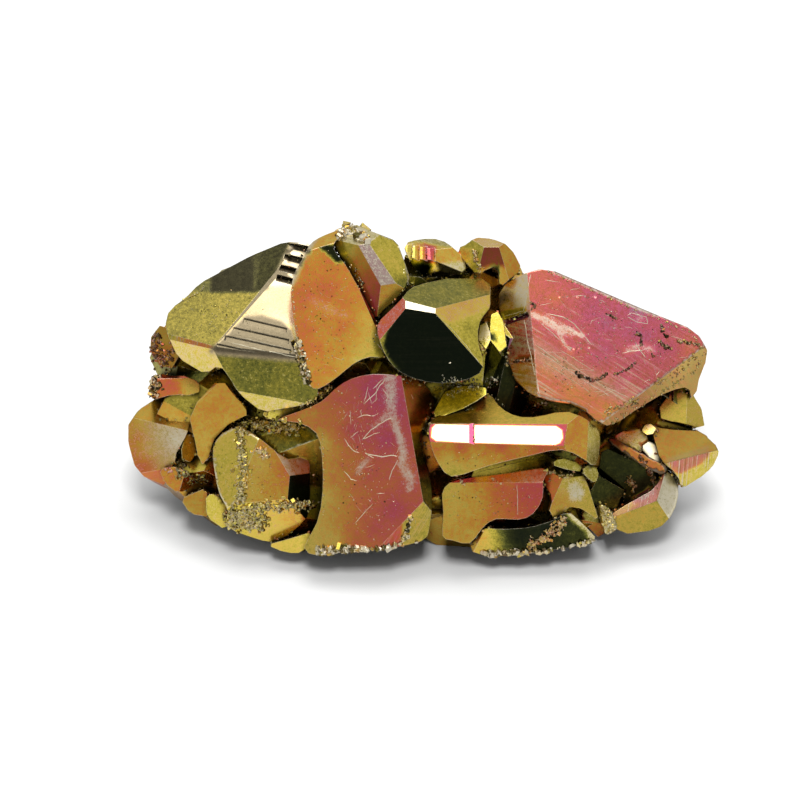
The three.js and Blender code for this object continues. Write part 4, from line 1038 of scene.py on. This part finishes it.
for name, (line, width, count, size, film, tone) in crustsAt.items():
    line = line if len(line) > 1 else line * 2
    lengths = [math.dist(first, second) + .01 for first, second in zip(line, line[1:])]
    for number in range(count):
        pick = rng.uniform(0, sum(lengths))
        part = 0
        while part < len(lengths) - 1 and pick > lengths[part]:
            pick -= lengths[part]
            part += 1
        across, down = between(line[part], line[part + 1], pick / lengths[part])
        spread = width * grainSet["spread"]
        hit = seen(across + rng.gauss(0, spread), down + rng.gauss(0, spread))
        if hit:
            tint = min(1, max(0, film + rng.uniform(*grainSet["filmShift"])))
            shift = rng.uniform(*grainSet["toneShift"])
            if "break" in name or "specks" in name:
                shift = rng.choice(grainSet["brokenShifts"])
            addGrain(hit[0], hit[1], rng.uniform(*size), tint, max(-1, tone + shift))
stone = grainSet["stone"]
for across, down in grainSet["stonesAt"].values():
    spot = seen(across, down)[0] - eyeOut * stone["behind"] + eyeUp * stone["raised"]
    addGrain(spot, Vector((0, 0, 0)), stone["size"], stone["film"], stone["tone"])
deepPoints = np.nonzero((creviceShade > grainSet["creviceShut"]) & (points[:, 2] > grainSet["creviceFrom"]))[0]
for number in range(grainSet["creviceCount"]):
    pick = int(rng.choice(deepPoints))
    addGrain(Vector(points[pick]), Vector(sums[pick]), rng.uniform(*grainSet["creviceSize"]),
             rng.choice(grainSet["creviceFilms"]), rng.uniform(*grainSet["creviceTones"]))
grains = joinedPiece("grains", np.concatenate(grainPoints), np.concatenate(grainFaces), tarnished)
giveValues(grains.data, grainFilm, grainTone)
print("grain triangles", len(grains.data.polygons))
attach(grains, "root")

# scratches
# Thin pale lines on the faces: half width in mm, then the line's points in the picture
scratchesAt = {
    "slab": (
        (.06, (368, 386), (364, 404)), (.07, (373, 389), (382, 380)),
        (.07, (364, 404), (375, 393), (385, 379)), (.06, (357, 418), (364, 415), (374, 416), (379, 413)),
        (.05, (360, 410), (362, 416)), (.06, (350, 438), (358, 431)),
        (.08, (362, 440), (371, 430), (378, 425), (386, 420), (392, 418)),
        (.06, (362, 440), (374, 434), (380, 432)), (.06, (344, 438), (348, 445), (353, 450), (359, 453)),
        (.08, (365, 453), (373, 455), (382, 457), (391, 455), (397, 456)), (.06, (365, 453), (374, 458)),
        (.06, (344, 471), (351, 479), (357, 481)), (.07, (398, 460), (392, 471), (389, 480)),
        (.05, (366, 468), (375, 464)), (.05, (376, 494), (385, 493)),
        (.05, (368, 392), (372, 404), (378, 398)), (.05, (355, 524), (364, 513), (373, 503)),
        (.1, (365, 486), (366, 487)), (.09, (393, 501), (394, 502)), (.05, (377, 385), (376, 402)),
        (.05, (382, 388), (388, 396), (386, 404)), (.05, (350, 410), (351, 425)),
    ),
    "amber": (
        (.02, (316, 301), (323, 294), (331, 299)), (.02, (329, 316), (336, 312), (348, 316)),
        (.03, (338, 290), (349, 286)), (.09, (331, 327), (332, 328)),
        (.02, (320, 308), (330, 305), (337, 309)), (.02, (334, 298), (345, 300)),
    ),
    "plate": (
        (.07, (548, 314), (563, 317), (574, 324), (582, 333), (588, 340), (592, 345)),
        (.08, (592, 343), (594, 345)), (.06, (560, 334), (565, 346), (572, 352)),
        (.05, (566, 346), (574, 349)), (.07, (622, 353), (632, 351), (644, 350)),
        (.07, (635, 342), (639, 349), (646, 358)), (.05, (632, 346), (644, 345)),
        (.06, (627, 315), (632, 313), (646, 317), (648, 324), (637, 322), (628, 317)),
        (.05, (644, 382), (650, 379)), (.05, (656, 376), (660, 370)),
        (.05, (570, 290), (577, 289), (580, 287)), (.05, (572, 296), (585, 295)),
        (.05, (539, 305), (552, 303)), (.05, (545, 280), (560, 282)),
        (.05, (590, 325), (592, 321), (597, 320)), (.06, (540, 322), (560, 340)),
        (.05, (600, 300), (606, 303)), (.05, (610, 290), (618, 296)), (.05, (670, 336), (684, 340)),
        (.05, (560, 300), (566, 307)), (.07, (524, 320), (528, 344), (534, 371), (541, 399)),
        (.07, (531, 273), (527, 295), (523, 315)), (.06, (500, 317), (524, 311)),
        (.05, (540, 352), (580, 378), (610, 396)), (.05, (536, 345), (560, 362)),
        (.04, (545, 362), (590, 392)), (.04, (552, 352), (600, 384), (634, 400)),
        (.04, (560, 350), (596, 372)),
    ),
    "mirror and round it": (
        (.05, (433, 313), (449, 326), (464, 343), (479, 362)), (.07, (386, 360), (396, 370)),
        (.06, (375, 335), (380, 339)), (.06, (377, 344), (382, 349)), (.05, (376, 325), (379, 331)),
        (.05, (450, 481), (480, 472), (510, 464), (557, 454)), (.05, (517, 484), (518, 515)),
        (.06, (232, 343), (262, 350), (296, 357)), (.05, (225, 345), (245, 349)),
        (.04, (240, 337), (290, 349)), (.05, (436, 386), (462, 386)),
    ),
}
scratchSet = {
    "height": .012 * mm,
    "sink": .01 * mm,
    # picture points between two looks at the face, and how far each may stray
    "step": 4,
    "stray": .4,
    # a scratch ends where the face turns by more than this cosine or is this far off
    "sameFace": .97,
    "gap": 1.4 * mm,
    # width at the ends and along it, as shares of the half width
    "endWidth": .35,
    "widths": (.6, 1.1),
    # fine ones: half width in mm, how far they turn off the slope, and the shortest
    "fineWidths": (.014, .03),
    "fineTurn": 35,
    "fineShortest": 2,
    "colour": (206, 198, 172),
    "roughness": .38,
}
# Fine random rubbing: centre, spread, count, slope and longest
rubbedAt = {
    "plate": ((610, 332), (46, 24), 110, 32, 12),
    "plate low": ((575, 378), (34, 17), 50, 32, 28),
    "slab": ((362, 440), (18, 46), 90, 100, 12),
    "amber": ((328, 312), (15, 32), 50, 60, 8),
    "summit": ((215, 316), (24, 12), 24, 20, 8),
    "brick": ((500, 505), (26, 14), 20, 10, 8),
    "moat": ((258, 475), (18, 18), 16, 70, 8),
}
allScratches = [row for rows in scratchesAt.values() for row in rows]
for (across, down), (wide, tall), count, slope, longest in rubbedAt.values():
    for number in range(count):
        turn = math.radians(slope + rng.gauss(0, scratchSet["fineTurn"]))
        half = rng.uniform(scratchSet["fineShortest"], longest) / 2
        centre = (across + rng.gauss(0, wide), down + rng.gauss(0, tall))
        halfWidth = rng.uniform(*scratchSet["fineWidths"])
        first = (centre[0] - math.cos(turn) * half, centre[1] - math.sin(turn) * half)
        second = (centre[0] + math.cos(turn) * half, centre[1] + math.sin(turn) * half)
        allScratches.append((halfWidth, first, second))


def runsOn(line):
    # the stretches of a scratch that lie on one face each
    path = []
    for first, second in zip(line, line[1:]):
        steps = max(1, round(math.dist(first, second) / scratchSet["step"]))
        path += [between(first, second, step / steps) for step in range(steps)]
    path.append(line[-1])
    stray = (-scratchSet["stray"], scratchSet["stray"])
    hits = [seen(across + rng.uniform(*stray), down + rng.uniform(*stray)) for across, down in path]
    runs, current = [], []
    for hit in hits:
        if not hit:
            continue
        if current:
            turned = hit[1].dot(current[-1][1]) < scratchSet["sameFace"]
            if turned or (hit[0] - current[-1][0]).length > scratchSet["gap"]:
                runs.append(current)
                current = []
        current.append(hit)
    runs.append(current)
    return [run for run in runs if len(run) > 1]


print("scratches")
ridgePoints, ridgeFaces = [], []
for halfWidth, *line in allScratches:
    for run in runsOn(line):
        start = len(ridgePoints)
        end = len(run) - 1
        for number, (spot, normal, facet) in enumerate(run):
            ahead = run[min(number + 1, end)][0] - run[max(number - 1, 0)][0]
            side = normal.cross(ahead).normalized() * halfWidth * mm
            side *= scratchSet["endWidth"] if number in (0, end) else rng.uniform(*scratchSet["widths"])
            low = spot - normal * scratchSet["sink"]
            ridgePoints += [low - side, spot + normal * scratchSet["height"], low + side]
        # three sides from each place to the next, and a triangle at both ends
        for ring in range(start, start + end * 3, 3):
            for one, other in ((0, 1), (1, 2), (2, 0)):
                ridgeFaces.append((ring + one, ring + other, ring + 3 + other))
                ridgeFaces.append((ring + one, ring + 3 + other, ring + 3 + one))
        last = start + end * 3
        ridgeFaces += [(start, start + 2, start + 1), (last, last + 1, last + 2)]
bareMetal = Recipe("bare metal")
bareMetal.shader.inputs["Base Color"].default_value = linear(scratchSet["colour"])
bareMetal.metal(scratchSet["roughness"])
scratches = joinedPiece("scratches", ridgePoints, ridgeFaces, bareMetal.material)
editOn(scratches)
bpy.ops.mesh.normals_make_consistent(inside=False)
editOff()
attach(scratches, "root")

# stage
stageSet = {
    "floorSize": 4,
    "floor": (.64, .64, .635, 1),
    "floorRough": .9,
    # light of the tent at the horizon and from this height up
    "low": .5,
    "high": .95,
    "highFrom": .8,
}
print("stage")
bpy.ops.object.select_all(action="DESELECT")
bpy.ops.mesh.primitive_plane_add(size=stageSet["floorSize"], location=(0, 0, 0))
floor = bpy.context.object
floor.name = "floor"
paper = Recipe("paper")
paper.shader.inputs["Base Color"].default_value = stageSet["floor"]
paper.shader.inputs["Roughness"].default_value = stageSet["floorRough"]
floor.data.materials.append(paper.material)

world = bpy.data.worlds.new("tent")
bpy.context.scene.world = world
world.use_nodes = True
tent = world.node_tree
direction = tent.nodes.new("ShaderNodeTexCoord")
split = tent.nodes.new("ShaderNodeSeparateXYZ")
rise = tent.nodes.new("ShaderNodeMapRange")
tent.links.new(direction.outputs["Generated"], split.inputs[0])
tent.links.new(split.outputs["Z"], rise.inputs[0])
for socket, value in enumerate((0, stageSet["highFrom"], stageSet["low"], stageSet["high"]), 1):
    rise.inputs[socket].default_value = value
tent.nodes["Background"].inputs[0].default_value = (1, 1, 1, 1)
tent.links.new(rise.outputs[0], tent.nodes["Background"].inputs[1])

lamps = {
    "softbox": {"elevation": 86, "distance": .5, "size": (.3, .34), "power": 1.3, "onGloss": True},
    # lights the paper only, so the shadow stays light
    "overhead": {"elevation": 48, "distance": .5, "size": (.1, .1), "power": 2.2, "onGloss": False},
}
for name, lamp in lamps.items():
    up = math.radians(lamp["elevation"])
    out = Vector((0, -math.cos(up), math.sin(up)))
    bpy.ops.object.light_add(type="AREA", location=lookAt + out * lamp["distance"])
    light = bpy.context.object
    light.name = name
    light.data.shape = "RECTANGLE"
    light.data.size, light.data.size_y = lamp["size"]
    light.data.energy = lamp["power"]
    light.visible_glossy = lamp["onGloss"]
    light.rotation_mode = "QUATERNION"
    light.rotation_quaternion = (-out).to_track_quat("-Z", "Y")

scene = bpy.context.scene
scene.view_settings.view_transform = "Standard"
scene.view_settings.look = "None"
scene.view_settings.exposure = 0
scene.cycles.caustics_reflective = False
